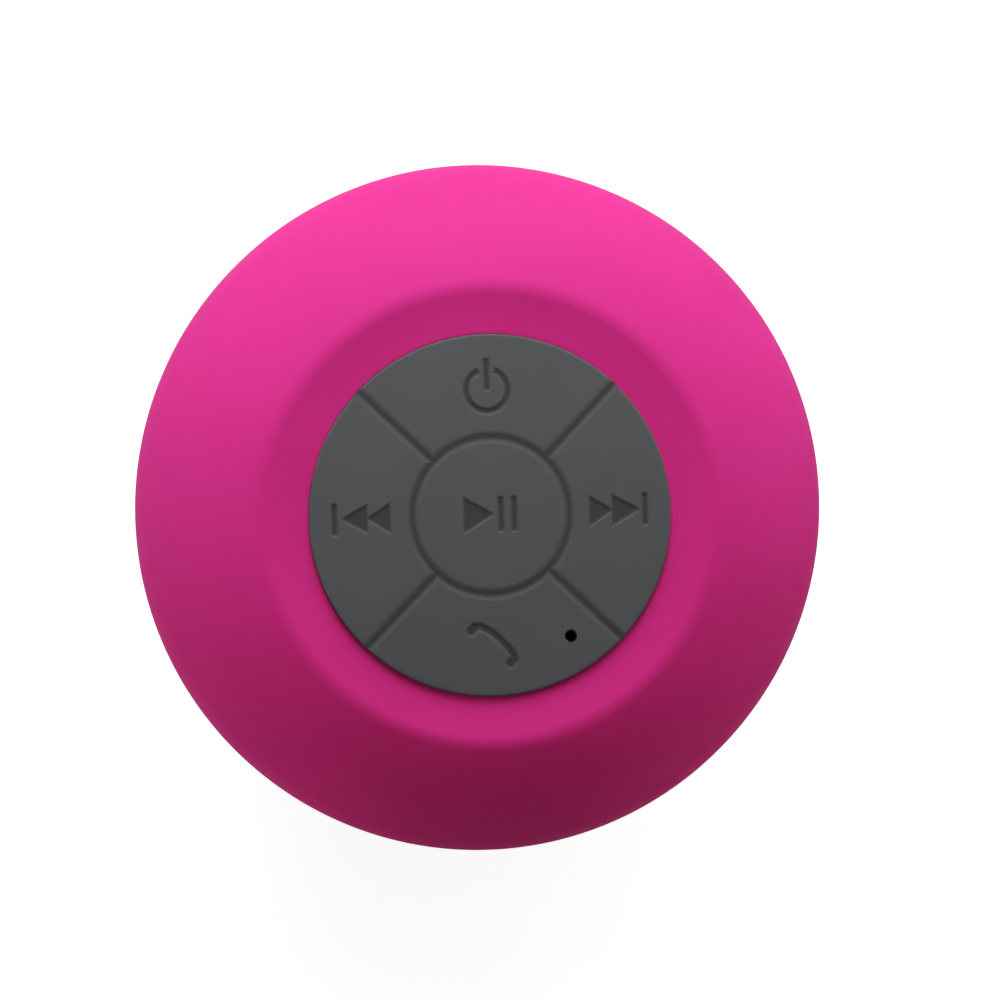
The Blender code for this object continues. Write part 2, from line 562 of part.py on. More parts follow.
finish(turned("magnet_top_plate", [(6.0, 36.5), (11.5, 36.5), (11.5, 35.05), (6.0, 35.05)], SMALL), STEEL)
finish(turned("magnet_ring", [(7.2, 40.6), (13.0, 40.6), (13.0, 36.55), (7.2, 36.55)], SMALL), FERRITE)
finish(turned("magnet_yoke", [(0.0, 42.1), (11.0, 42.1), (11.5, 41.6), (11.5, 40.65), (4.7, 40.65), (4.7, 34.8), (0.0, 34.8)], SMALL), STEEL)

# ---- battery, charging board, wires ------------------------------------------------------------------------------
battery = finish(box("battery", (27.0, 4.6, 17.9), (0.0, 25.5, 35.1), bevel=1.1), BATTERY_FOIL)
charge_board = finish(box("charge_board", (13.0, 9.6, 0.8), (0.0, -28.4, 26.75)), GREEN_BOARD)
usb_socket = box("usb_socket", (7.5, 5.5, 2.6), (0.0, -32.65, 28.5), bevel=0.4)
boolean(usb_socket, "DIFFERENCE", box("usb_mouth", (6.7, 5.0, 1.8), (0.0, -33.4, 28.5), collection=CUTTERS, bevel=0.3))
finish(usb_socket, STEEL)

wire("battery_wire_red", [(1.6, 25.6, 44.2), (1.6, 25.5, 45.2), (1.6, 23.2, 46.4), (1.6, 20.8, 45.9), (1.6, 20.6, 45.1)], 0.5, RED_WIRE)
wire("battery_wire_black", [(-1.6, 25.6, 44.2), (-1.6, 25.5, 45.2), (-1.6, 23.2, 46.4), (-1.6, 20.8, 45.9), (-1.6, 20.6, 45.1)], 0.5, BLACK_WIRE)
wire("speaker_wire_red", [(-16.9, -8.9, 28.6), (-17.1, -9.0, 30.4), (-17.3, -9.2, 36.0), (-16.4, -8.9, 41.6), (-16.2, -8.8, 43.8)], 0.5, RED_WIRE)
wire("speaker_wire_black", [(-18.0, -6.4, 28.6), (-18.2, -6.5, 30.4), (-18.4, -6.6, 36.0), (-17.6, -6.2, 41.6), (-17.4, -6.0, 43.8)], 0.5, BLACK_WIRE)


def ribbon(name, path, x, width, thick):
    """A flat cable: its side line thickened, then given its width."""
    line = catmull([(0.0, y, z) for y, z in path], 3)
    left, right = [], []
    for i, p in enumerate(line):
        d = (line[min(i + 1, len(line) - 1)] - line[max(i - 1, 0)]).normalized()
        n = Vector((0.0, -d.z, d.y)) * (thick / 2)
        left.append(p + n)
        right.append(p - n)
    outline = left + right[::-1]
    work = bmesh.new()
    verts = [work.verts.new(Vector((x - width / 2, p.y, p.z)) * MM) for p in outline]
    half = len(left)
    faces = [work.faces.new((verts[i], verts[i + 1], verts[2 * half - 2 - i], verts[2 * half - 1 - i])) for i in range(half - 1)]
    grown = bmesh.ops.extrude_face_region(work, geom=faces)
    bmesh.ops.translate(work, vec=(width * MM, 0, 0), verts=[v for v in grown["geom"] if isinstance(v, bmesh.types.BMVert)])
    bmesh.ops.recalc_face_normals(work, faces=work.faces)
    mesh = bpy.data.meshes.new(name)
    work.to_mesh(mesh)
    work.free()
    return add(name, mesh)


finish(ribbon("charge_cable", [(-25.6, 27.5), (-24.2, 28.6), (-23.3, 32.0), (-22.9, 37.0), (-21.6, 41.2), (-18.6, 43.4), (-16.6, 43.6)],
              4.4, 3.6, 0.4), RIBBON)

# ---- housing screws ----------------------------------------------------------------------------------------------
for i, at in enumerate(screw_places, 1):
    screw = turned(
        f"housing_screw_{i}",
        [(0.0, 35.0), (SCREW_R, 34.0), (SCREW_R, 19.95), (2.4, 19.95), (2.2, 18.2), (0.8, 18.2), (0.0, 19.0)],
        10,
    )
    screw.location = (at[0] * MM, at[1] * MM, 0.0)
    finish(screw, STEEL)
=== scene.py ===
"""Looks of the round shower speaker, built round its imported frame. Lengths in this script are millimetres unless said otherwise."""

import json
import math

import bmesh
import bpy
import numpy as np
from mathutils import Matrix, Quaternion, Vector

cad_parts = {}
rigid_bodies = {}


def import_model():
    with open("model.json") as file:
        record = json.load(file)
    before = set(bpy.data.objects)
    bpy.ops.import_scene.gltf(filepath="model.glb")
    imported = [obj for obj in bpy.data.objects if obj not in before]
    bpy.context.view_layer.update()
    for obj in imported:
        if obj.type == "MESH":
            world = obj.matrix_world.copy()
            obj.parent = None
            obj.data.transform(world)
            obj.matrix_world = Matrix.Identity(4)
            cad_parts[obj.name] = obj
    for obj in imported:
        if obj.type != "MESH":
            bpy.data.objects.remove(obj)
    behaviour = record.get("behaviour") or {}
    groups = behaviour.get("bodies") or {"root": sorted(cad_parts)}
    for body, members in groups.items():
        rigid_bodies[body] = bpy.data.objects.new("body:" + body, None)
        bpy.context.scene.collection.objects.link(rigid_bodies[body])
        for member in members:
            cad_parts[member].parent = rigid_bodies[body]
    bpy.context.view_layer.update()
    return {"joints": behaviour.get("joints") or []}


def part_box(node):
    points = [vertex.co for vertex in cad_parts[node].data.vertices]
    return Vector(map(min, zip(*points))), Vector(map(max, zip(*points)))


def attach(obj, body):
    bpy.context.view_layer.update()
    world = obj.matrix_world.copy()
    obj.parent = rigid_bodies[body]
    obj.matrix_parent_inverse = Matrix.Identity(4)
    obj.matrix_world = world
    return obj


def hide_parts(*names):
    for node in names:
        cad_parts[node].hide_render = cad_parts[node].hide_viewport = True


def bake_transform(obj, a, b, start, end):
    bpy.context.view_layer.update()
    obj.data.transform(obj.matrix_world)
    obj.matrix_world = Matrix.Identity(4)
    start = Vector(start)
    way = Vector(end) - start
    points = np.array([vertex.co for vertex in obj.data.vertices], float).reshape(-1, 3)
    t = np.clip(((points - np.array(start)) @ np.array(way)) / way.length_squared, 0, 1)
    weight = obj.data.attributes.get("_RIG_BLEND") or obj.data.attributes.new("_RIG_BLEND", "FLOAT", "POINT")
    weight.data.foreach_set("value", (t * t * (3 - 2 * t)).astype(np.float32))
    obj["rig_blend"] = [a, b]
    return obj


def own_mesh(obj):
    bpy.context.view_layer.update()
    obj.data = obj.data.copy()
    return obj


for old in list(bpy.data.objects):
    bpy.data.objects.remove(old, do_unlink=True)

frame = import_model()
scene = bpy.context.scene
MM = 0.001

# ---- the shapes that the looks share with the frame ----------------------------------------------------------------
BODY_R, RIM_Z, RIM_ROUND, UNDER_ROUND = 43.0, 35.0, 11.0, 6.0
DOME_OUT, DOME_IN, DISH = 55.0, 27.0, -4.0
SHOULDER_R, DISH_R, SLEEVE_T = 28.65, 26.75, 1.6
PAD_R, PAD_TOP, PAD_CROWN = 21.84, 54.2, 0.95
KEY_BOTTOM, RING_R, GAP = 51.0, 9.45, 0.014
NUB_AT = {"play": (0.0, 0.0), "power": (0.0, 15.7), "previous": (-15.7, 0.0), "next": (15.7, 0.0), "call": (0.0, -15.7)}
SECTOR = {"next": 0.0, "power": 90.0, "previous": 180.0, "call": 270.0}
MIC_AT = (9.2, -14.9)
CONE = (31.0, 16.6, 40.2, 31.5)
SLOPE = math.atan2(CONE[2] - CONE[0], CONE[3] - CONE[1])
PORT_Z = 28.45
HINGE = next(j for j in frame["joints"] if j["name"] == "flap_open")["pos_m"]


def dome_point(deg, depth=0.0):
    """A point of the sleeve's outer line where it slopes down by that angle, moved inwards by depth."""
    a, out, inn, dish = (math.radians(x) for x in (deg, DOME_OUT, DOME_IN, DISH))
    rim_r = BODY_R - RIM_ROUND
    r1, z1 = rim_r + RIM_ROUND * math.sin(out), RIM_Z + RIM_ROUND * math.cos(out)
    k1 = (out - inn) / (r1 - SHOULDER_R)
    z2 = z1 + (math.log(math.cos(inn)) - math.log(math.cos(out))) / k1
    k2 = (inn - dish) / (SHOULDER_R - DISH_R)
    if deg > 90.0:
        r, z = BODY_R - UNDER_ROUND + UNDER_ROUND * math.sin(a), RIM_Z + UNDER_ROUND * math.cos(a)
    elif deg >= DOME_OUT:
        r, z = rim_r + RIM_ROUND * math.sin(a), RIM_Z + RIM_ROUND * math.cos(a)
    elif deg >= DOME_IN:
        r, z = r1 - (out - a) / k1, z1 + (math.log(math.cos(a)) - math.log(math.cos(out))) / k1
    else:
        r, z = SHOULDER_R - (inn - a) / k2, z2 + (math.log(math.cos(a)) - math.log(math.cos(inn))) / k2
    return r - depth * math.sin(a), z - depth * math.cos(a)


def dish_z(radius, depth=0.0):
    r0, z0 = dome_point(DISH, depth)
    return z0 - (r0 - radius) * math.tan(math.radians(-DISH))


def dish_sag(radius):
    """How far the dish hangs below its straight line, between the keypad and the shoulder."""
    return 0.001 * (radius - PAD_R) * (SHOULDER_R - radius) ** 2 if PAD_R < radius < SHOULDER_R else 0.0


BALL = (PAD_R**2 + PAD_CROWN**2) / (2 * PAD_CROWN)


def pad_z(r):
    return PAD_TOP - BALL + np.sqrt(BALL**2 - np.square(r))


def cone_r(z):
    return CONE[0] + (z - CONE[1]) * (CONE[2] - CONE[0]) / (CONE[3] - CONE[1])


# ---- mesh helpers -------------------------------------------------------------------------------------------------
def obj_from(name, verts_mm, faces, sharp=32.0, recalc=True):
    mesh = bpy.data.meshes.new(name)
    mesh.from_pydata([tuple(v) for v in np.asarray(verts_mm, float) * MM], [], faces)
    if recalc:
        work = bmesh.new()
        work.from_mesh(mesh)
        bmesh.ops.remove_doubles(work, verts=work.verts, dist=1e-7)
        bmesh.ops.recalc_face_normals(work, faces=work.faces)
        work.to_mesh(mesh)
        work.free()
    mesh.shade_smooth()
    mesh.set_sharp_from_angle(angle=math.radians(sharp))
    obj = bpy.data.objects.new(name, mesh)
    scene.collection.objects.link(obj)
    return obj


def put(obj, body, mat, replaces=()):
    obj.data.materials.clear()
    obj.data.materials.append(mat.mat if isinstance(mat, Mat) else mat)
    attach(obj, body)
    if replaces:
        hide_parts(*replaces)
    return obj


def fillet(points, radii, steps=5):
    """Rounds the corners of an open line of (r, z). radii has one entry per point, and 0 keeps it sharp."""
    out = [points[0]]
    for i in range(1, len(points) - 1):
        rad = radii[i]
        p, a, b = (np.array(points[k], float) for k in (i, i - 1, i + 1))
        u, v = a - p, b - p
        lu, lv = np.linalg.norm(u), np.linalg.norm(v)
        if rad <= 0 or lu < 1e-9 or lv < 1e-9:
            out.append(tuple(p))
            continue
        u, v = u / lu, v / lv
        ang = math.acos(max(-1.0, min(1.0, float(u @ v))))
        if ang > math.radians(176):
            out.append(tuple(p))
            continue
        t = min(rad / math.tan(ang / 2), 0.49 * lu, 0.49 * lv)
        rr = t * math.tan(ang / 2)
        bis = (u + v) / np.linalg.norm(u + v)
        c = p + bis * (rr / math.sin(ang / 2))
        s, e = p + u * t - c, p + v * t - c
        sweep = math.pi - ang
        cross = s[0] * e[1] - s[1] * e[0]
        for k in range(steps + 1):
            f = (sweep * k / steps) * (1 if cross > 0 else -1)
            q = c + np.array([s[0] * math.cos(f) - s[1] * math.sin(f), s[0] * math.sin(f) + s[1] * math.cos(f)])
            out.append((float(q[0]), float(q[1])))
    out.append(points[-1])
    return out


def lathe(name, profile, seg, sharp=32.0, at=(0.0, 0.0)):
    """A line of (r, z) turned round Z: open if both its ends are on the axis, closed otherwise."""
    prof = [profile[0]]
    for q in profile[1:]:
        if math.hypot(q[0] - prof[-1][0], q[1] - prof[-1][1]) > 1e-4:
            prof.append(q)
    closed = not (abs(prof[0][0]) < 1e-9 and abs(prof[-1][0]) < 1e-9)
    if closed and math.hypot(prof[0][0] - prof[-1][0], prof[0][1] - prof[-1][1]) < 1e-4:
        prof.pop()
    verts, rings = [], []
    ang = [math.tau * k / seg for k in range(seg)]
    for r, z in prof:
        if abs(r) < 1e-9:
            rings.append([len(verts)])
            verts.append((at[0], at[1], z))
        else:
            rings.append(list(range(len(verts), len(verts) + seg)))
            verts += [(at[0] + r * math.cos(a), at[1] + r * math.sin(a), z) for a in ang]
    faces = []
    n = len(prof)
    for i in range(n if closed else n - 1):
        a, b = rings[i], rings[(i + 1) % n]
        for k in range(seg):
            k2 = (k + 1) % seg
            if len(a) == 1 and len(b) == 1:
                break
            if len(a) == 1:
                faces.append((a[0], b[k], b[k2]))
            elif len(b) == 1:
                faces.append((a[k], b[0], a[k2]))
            else:
                faces.append((a[k], b[k], b[k2], a[k2]))
    return obj_from(name, verts, faces, sharp)


def prism(name, outline, lo_hi, matrix=None):
    """A closed loft of 2-D outlines at depths: lo_hi is a list of (depth, outline grown by)."""
    verts, faces = [], []
    n = len(outline)
    o = np.array(outline, float)
    centre = o.mean(0)
    nrm = np.roll(o, -1, 0) - np.roll(o, 1, 0)
    nrm = np.stack([nrm[:, 1], -nrm[:, 0]], 1)
    nrm /= np.linalg.norm(nrm, axis=1)[:, None]
    if ((o - centre) * nrm).sum() < 0:
        nrm = -nrm
    for d, grow in lo_hi:
        verts += [(x, y, d) for x, y in o + nrm * grow]
    for k in range(len(lo_hi) - 1):
        for i in range(n):
            j = (i + 1) % n
            faces.append((k * n + i, k * n + j, (k + 1) * n + j, (k + 1) * n + i))
    faces.append(tuple(range(n - 1, -1, -1)))
    faces.append(tuple((len(lo_hi) - 1) * n + i for i in range(n)))
    obj = obj_from(name, verts, faces)
    if matrix is not None:
        obj.data.transform(matrix)
        if matrix.to_3x3().determinant() < 0:
            obj.data.flip_normals()
    return obj


def rounded_rect(w, h, rad, steps=6):
    pts = []
    for cx, cy, a0 in ((w / 2 - rad, h / 2 - rad, 0), (-w / 2 + rad, h / 2 - rad, 90), (-w / 2 + rad, -h / 2 + rad, 180), (w / 2 - rad, -h / 2 + rad, 270)):
        for k in range(steps + 1):
            a = math.radians(a0 + 90 * k / steps)
            pts.append((cx + rad * math.cos(a), cy + rad * math.sin(a)))
    return pts


def join(name, objs, sharp=32.0):
    """One object from several."""
    work = bmesh.new()
    for o in objs:
        mesh = o.data.copy()
        mesh.transform(o.matrix_world)
        work.from_mesh(mesh)
        bpy.data.meshes.remove(mesh)
    for o in objs:
        bpy.data.objects.remove(o, do_unlink=True)
    mesh = bpy.data.meshes.new(name)
    work.to_mesh(mesh)
    work.free()
    mesh.shade_smooth()
    mesh.set_sharp_from_angle(angle=math.radians(sharp))
    obj = bpy.data.objects.new(name, mesh)
    scene.collection.objects.link(obj)
    return obj


def boolean(obj, operation, other, sharp=32.0):
    mod = obj.modifiers.new("b", "BOOLEAN")
    mod.operation, mod.solver, mod.object = operation, "EXACT", other
    bpy.context.view_layer.update()
    dg = bpy.context.evaluated_depsgraph_get()
    mesh = bpy.data.meshes.new_from_object(obj.evaluated_get(dg), depsgraph=dg)
    obj.modifiers.clear()
    obj.data = mesh
    bpy.data.objects.remove(other, do_unlink=True)
    mesh.shade_smooth()
    mesh.set_sharp_from_angle(angle=math.radians(sharp))
    return obj


# ---- materials ----------------------------------------------------------------------------------------------------
class Mat:
    """Short names for building a node tree round one Principled shader."""

    def __init__(self, name, colour, rough, metal=0.0, spec=0.5):
        self.mat = bpy.data.materials.new(name)
        self.mat.use_nodes = True
        self.tree = self.mat.node_tree
        self.bsdf = self.tree.nodes["Principled BSDF"]
        self.set("Base Color", (*colour, 1.0))
        self.set("Roughness", rough)
        self.set("Metallic", metal)
        self.set("Specular IOR Level", spec)
        self.coord = self.node("ShaderNodeTexCoord").outputs["Object"]
        self.bump_from = None

    def node(self, kind, **values):
        n = self.tree.nodes.new(kind)
        for k, v in values.items():
            if hasattr(n, k):
                setattr(n, k, v)
            else:
                n.inputs[k].default_value = v
        return n

    def set(self, name, value):
        self.bsdf.inputs[name].default_value = value

    def link(self, a, b):
        self.tree.links.new(a, b)

    def noise(self, scale, detail=3.0, rough=0.5, stretch=None):
        n = self.node("ShaderNodeTexNoise")
        n.inputs["Scale"].default_value = scale
        n.inputs["Detail"].default_value = detail
        n.inputs["Roughness"].default_value = rough
        if stretch:
            m = self.node("ShaderNodeMapping")
            m.inputs["Scale"].default_value = stretch
            self.link(self.coord, m.inputs["Vector"])
            self.link(m.outputs["Vector"], n.inputs["Vector"])
        else:
            self.link(self.coord, n.inputs["Vector"])
        return n.outputs["Fac"]

    def voronoi(self, scale, feature="F1"):
        n = self.node("ShaderNodeTexVoronoi")
        n.feature = feature
        n.inputs["Scale"].default_value = scale
        self.link(self.coord, n.inputs["Vector"])
        return n.outputs["Distance"]

    def ramp(self, fac, stops):
        n = self.node("ShaderNodeValToRGB")
        while len(n.color_ramp.elements) > 1:
            n.color_ramp.elements.remove(n.color_ramp.elements[0])
        n.color_ramp.elements[0].position = stops[0][0]
        n.color_ramp.elements[0].color = (*stops[0][1], 1.0)
        for pos, col in stops[1:]:
            e = n.color_ramp.elements.new(pos)
            e.color = (*col, 1.0)
        self.link(fac, n.inputs["Fac"])
        return n.outputs["Color"]

    def range(self, fac, lo, hi, a=0.0, b=1.0):
        n = self.node("ShaderNodeMapRange")
        n.inputs["From Min"].default_value = a
        n.inputs["From Max"].default_value = b
        n.inputs["To Min"].default_value = lo
        n.inputs["To Max"].default_value = hi
        self.link(fac, n.inputs["Value"])
        return n.outputs["Result"]

    def math(self, op, a, b=None):
        n = self.node("ShaderNodeMath")
        n.operation = op
        for i, v in enumerate((a, b)):
            if v is None:
                continue
            if isinstance(v, (int, float)):
                n.inputs[i].default_value = v
            else:
                self.link(v, n.inputs[i])
        return n.outputs[0]

    def mix(self, fac, a, b, blend="MIX"):
        n = self.node("ShaderNodeMix")
        n.data_type = "RGBA"
        n.blend_type = blend
        for i, v in ((0, fac), (6, a), (7, b)):
            if isinstance(v, (int, float)):
                n.inputs[i].default_value = v
            elif isinstance(v, tuple):
                n.inputs[i].default_value = (*v, 1.0)
            else:
                self.link(v, n.inputs[i])
        return n.outputs[2]

    def colour(self, socket):
        self.link(socket, self.bsdf.inputs["Base Color"])

    def rough(self, fac, lo, hi):
        self.link(self.range(fac, lo, hi, 0.3, 0.7), self.bsdf.inputs["Roughness"])

    def bump(self, height, depth_mm, strength=1.0):
        n = self.node("ShaderNodeBump")
        n.inputs["Strength"].default_value = strength
        n.inputs["Distance"].default_value = depth_mm * MM
        self.link(height, n.inputs["Height"])
        if self.bump_from:
            self.link(self.bump_from, n.inputs["Normal"])
        self.bump_from = n.outputs["Normal"]
        self.link(self.bump_from, self.bsdf.inputs["Normal"])


def shade(colour, k):
    return tuple(min(1.0, c * k) for c in colour)


def silicone(name, colour, rough=0.62, sheen=0.12, grain=0.010):
    """Moulded silicone: velvety, with a fine grain and faint clouding."""
    m = Mat(name, colour, rough, spec=0.07)
    cloud = m.noise(60.0, 3.0)
    m.colour(m.mix(m.range(cloud, 0.0, 1.0, 0.3, 0.7), shade(colour, 0.965), shade(colour, 1.03)))
    m.rough(m.noise(240.0, 2.0), rough - 0.05, rough + 0.07)
    m.set("Sheen Weight", sheen)
    m.set("Sheen Roughness", 0.45)
    m.bump(m.noise(5200.0, 2.0, 0.6), grain)
    m.bump(m.noise(900.0, 2.0), grain * 0.8)
    return m


def moulded(name, colour, rough=0.42, grain=0.012, scale=3800.0):
    """Injection-moulded plastic with a spark-eroded texture."""
    m = Mat(name, colour, rough, spec=0.45)
    cloud = m.noise(70.0, 3.0)
    m.colour(m.mix(m.range(cloud, 0.0, 1.0, 0.3, 0.7), shade(colour, 0.93), shade(colour, 1.06)))
    m.rough(m.noise(350.0, 3.0), rough - 0.06, rough + 0.1)
    m.bump(m.voronoi(scale), grain)
    m.bump(m.noise(scale * 0.5, 3.0, 0.6), grain * 0.7)
    return m


def metal(name, colour, rough=0.28, stretch=(1.0, 1.0, 14.0), scale=2600.0):
    """Turned or rolled metal with fine lines and a little tarnish."""
    m = Mat(name, colour, rough, 1.0)
    tarnish = m.noise(300.0, 4.0, 0.6)
    m.colour(m.mix(m.range(tarnish, 0.0, 1.0, 0.35, 0.75), colour, shade(colour, 0.72)))
    lines = m.noise(scale, 3.0, 0.6, stretch)
    m.rough(lines, rough - 0.07, rough + 0.14)
    m.bump(lines, 0.004)
    return m


PINK = (0.70, 0.038, 0.2445)
GREY = (0.117, 0.119, 0.124)

pink = silicone("pink_silicone", PINK, 0.66, 0.0, 0.008)
grey_key = silicone("grey_silicone", GREY, 0.66, 0.05, 0.010)
# painted shade: the engraved signs and the grooves between keys are darkened in colour through the sunk attribute,
# standing in for the shade that falls in these hollows
sunk = grey_key.node("ShaderNodeAttribute", attribute_name="sunk")
base_link = grey_key.bsdf.inputs["Base Color"].links[0].from_socket
painted_shade_colour = grey_key.mix(sunk.outputs["Fac"], base_link, shade(GREY, 0.55))
# painted shade: the bore of the microphone hole in the call key is coloured near-black through the hole attribute
painted_bore_shade = grey_key.node("ShaderNodeAttribute", attribute_name="hole")
grey_key.colour(grey_key.mix(painted_bore_shade.outputs["Fac"], painted_shade_colour, (0.006, 0.006, 0.006)))

cover_grey = moulded("grey_cover", (0.085, 0.087, 0.092), 0.46, 0.02, 2600.0)
white_abs = moulded("white_abs", (0.72, 0.72, 0.69), 0.38)
black_abs = moulded("black_abs", (0.018, 0.018, 0.02), 0.4)
black_rubber = silicone("black_rubber", (0.018, 0.018, 0.019), 0.7, 0.05, 0.014)
steel = metal("bright_steel", (0.62, 0.62, 0.63), 0.26)
brass = metal("machined_brass", (0.78, 0.55, 0.24), 0.25)
zinc = metal("zinc_plate", (0.55, 0.56, 0.58), 0.34, (1.0, 1.0, 1.0), 1500.0)
mic_mesh = moulded("acoustic_mesh", (0.006, 0.006, 0.006), 0.85, 0.03, 5000.0)


# ---- distance fields of the engraved signs, in the plane of the keypad ----------------------------------------------
def sd_capsule(x, y, a, b, r):
    ax, ay = a
    bx, by = b[0] - ax, b[1] - ay
    t = np.clip(((x - ax) * bx + (y - ay) * by) / (bx * bx + by * by), 0, 1)
    return np.hypot(x - ax - t * bx, y - ay - t * by) - r


def sd_box(x, y, x0, x1, y0, y1, rad=0.16):
    cx, cy, hx, hy = (x0 + x1) / 2, (y0 + y1) / 2, (x1 - x0) / 2 - rad, (y1 - y0) / 2 - rad
    dx, dy = np.abs(x - cx) - hx, np.abs(y - cy) - hy
    return np.hypot(np.maximum(dx, 0), np.maximum(dy, 0)) + np.minimum(np.maximum(dx, dy), 0) - rad


def smooth_max(a, b, k):
    h = np.clip(0.5 + 0.5 * (a - b) / k, 0, 1)
    return b + (a - b) * h + k * h * (1 - h)


def sd_triangle(x, y, tip, base_x, y0, half, rad=0.16):
    """A triangle with its tip and its upright base on the line y = y0, and slightly rounded corners."""
    s = 1.0 if tip > base_x else -1.0
    px, py = (x - base_x) * s, np.sqrt((y - y0) ** 2 + rad**2) - 0.35 * rad
    length = abs(tip - base_x)
    nx, ny = half, length
    norm = math.hypot(nx, ny)
    side = (px * nx + py * ny - length * half) / norm
    return smooth_max(side, -px, 1.6 * rad)


def sd_power(x, y):
    cx, cy = 0.0, 15.05
    ring = np.abs(np.hypot(x - cx, y - cy) - 2.5) - 0.31
    ang = np.degrees(np.arctan2(x - cx, y - cy))
    gap = (23.0 - np.abs(ang)) * math.pi / 180 * 2.56
    return np.minimum(np.maximum(ring, gap), sd_box(x, y, -0.32, 0.32, 15.05, 18.8))


def sd_previous(x, y):
    return np.minimum.reduce([sd_box(x, y, -19.12, -18.48, -1.76, 2.0), sd_triangle(x, y, -17.9, -14.88, 0.12, 1.66), sd_triangle(x, y, -14.85, -12.1, 0.12, 1.76)])


def sd_next(x, y):
    return np.minimum.reduce([sd_box(x, y, 18.35, 19.0, -1.8, 2.0), sd_triangle(x, y, 14.72, 11.88, 0.08, 1.76), sd_triangle(x, y, 18.02, 14.66, 0.08, 1.78)])


def sd_play(x, y):
    return np.minimum.reduce([sd_triangle(x, y, 0.28, -3.3, 0.14, 2.06), sd_box(x, y, 0.86, 1.5, -1.94, 2.2), sd_box(x, y, 2.44, 3.08, -1.94, 2.2)])


def sd_call(x, y):
    line = [(-2.5, -13.35), (-1.75, -13.3), (-0.56, -13.96), (0.62, -14.98), (1.68, -16.18), (2.26, -17.06), (2.33, -17.5)]
    parts = [sd_capsule(x, y, a, b, 0.38) for a, b in zip(line, line[1:])]
    parts += [sd_capsule(x, y, (-2.42, -13.42), (-2.82, -13.86), 0.52), sd_capsule(x, y, (2.22, -17.5), (1.84, -17.95), 0.52)]
    return np.minimum.reduce(parts)


SIGN = {"power": sd_power, "previous": sd_previous, "next": sd_next, "play": sd_play, "call": sd_call}
SIGN_DEEP, SIGN_WALL = 0.16, 0.24


def sunk_share(key, x, y):
    t = np.clip((SIGN_WALL - SIGN[key](x, y)) / (2 * SIGN_WALL), 0, 1)
    return t * t * (3 - 2 * t)


def edge_drop(d, rad, depth=None):
    """How far a rounded edge falls at distance d from it: rad wide, and rad deep unless a depth is given."""
    d = np.clip(d, 0, rad)
    return (rad - np.sqrt(np.maximum(rad**2 - (rad - d) ** 2, 0))) * ((depth or rad) / rad)


GROOVE_W, GROOVE_DEEP, PAD_EDGE, PAD_DROP = 0.86, 0.145, 0.34, 0.13
# strength and width of the painted shade along the grooves between keys
GROOVE_PAINTED_SHADE, PAINTED_SHADE_W = 0.80, 0.72


def groove_drop(s):
    """Depth of the soft groove at distance s from its middle line, where two keys meet."""
    return GROOVE_DEEP * 0.5 * (1 + np.cos(math.pi * np.clip(np.abs(s) / GROOVE_W, 0, 1)))


# painted shade: how much the key's colour is darkened at distance s from the groove's middle line
def groove_painted_shade(s):
    t = np.clip(1 - np.abs(s) / PAINTED_SHADE_W, 0, 1)
    return GROOVE_PAINTED_SHADE * t * t * (3 - 2 * t)


def groove_line(x, y):
    """Distance from the middle line of the nearest groove: the ring, or one of the four diagonals outside it."""
    r = np.hypot(x, y)
    ring = np.abs(r - RING_R)
    line = np.where(r > RING_R, np.abs(np.abs(x) - np.abs(y)) / math.sqrt(2), 9.0)
    return np.minimum(ring, line)


def spread(lo, hi, step, fine=()):
    """Numbers from lo to hi with that step, and finer ones inside the fine spans (a, b, step)."""
    vals = list(np.arange(lo, hi, step)) + [hi]
    for a, b, s in fine:
        a, b = max(a, lo), min(b, hi)
        vals = [v for v in vals if not a < v < b]
        vals += list(np.arange(a, b, s))
    vals = sorted(vals)
    out = [vals[0]]
    for v in vals[1:]:
        if v - out[-1] > 1e-3:
            out.append(v)
    if hi - out[-1] > 1e-6:
        out.append(hi)
    return out


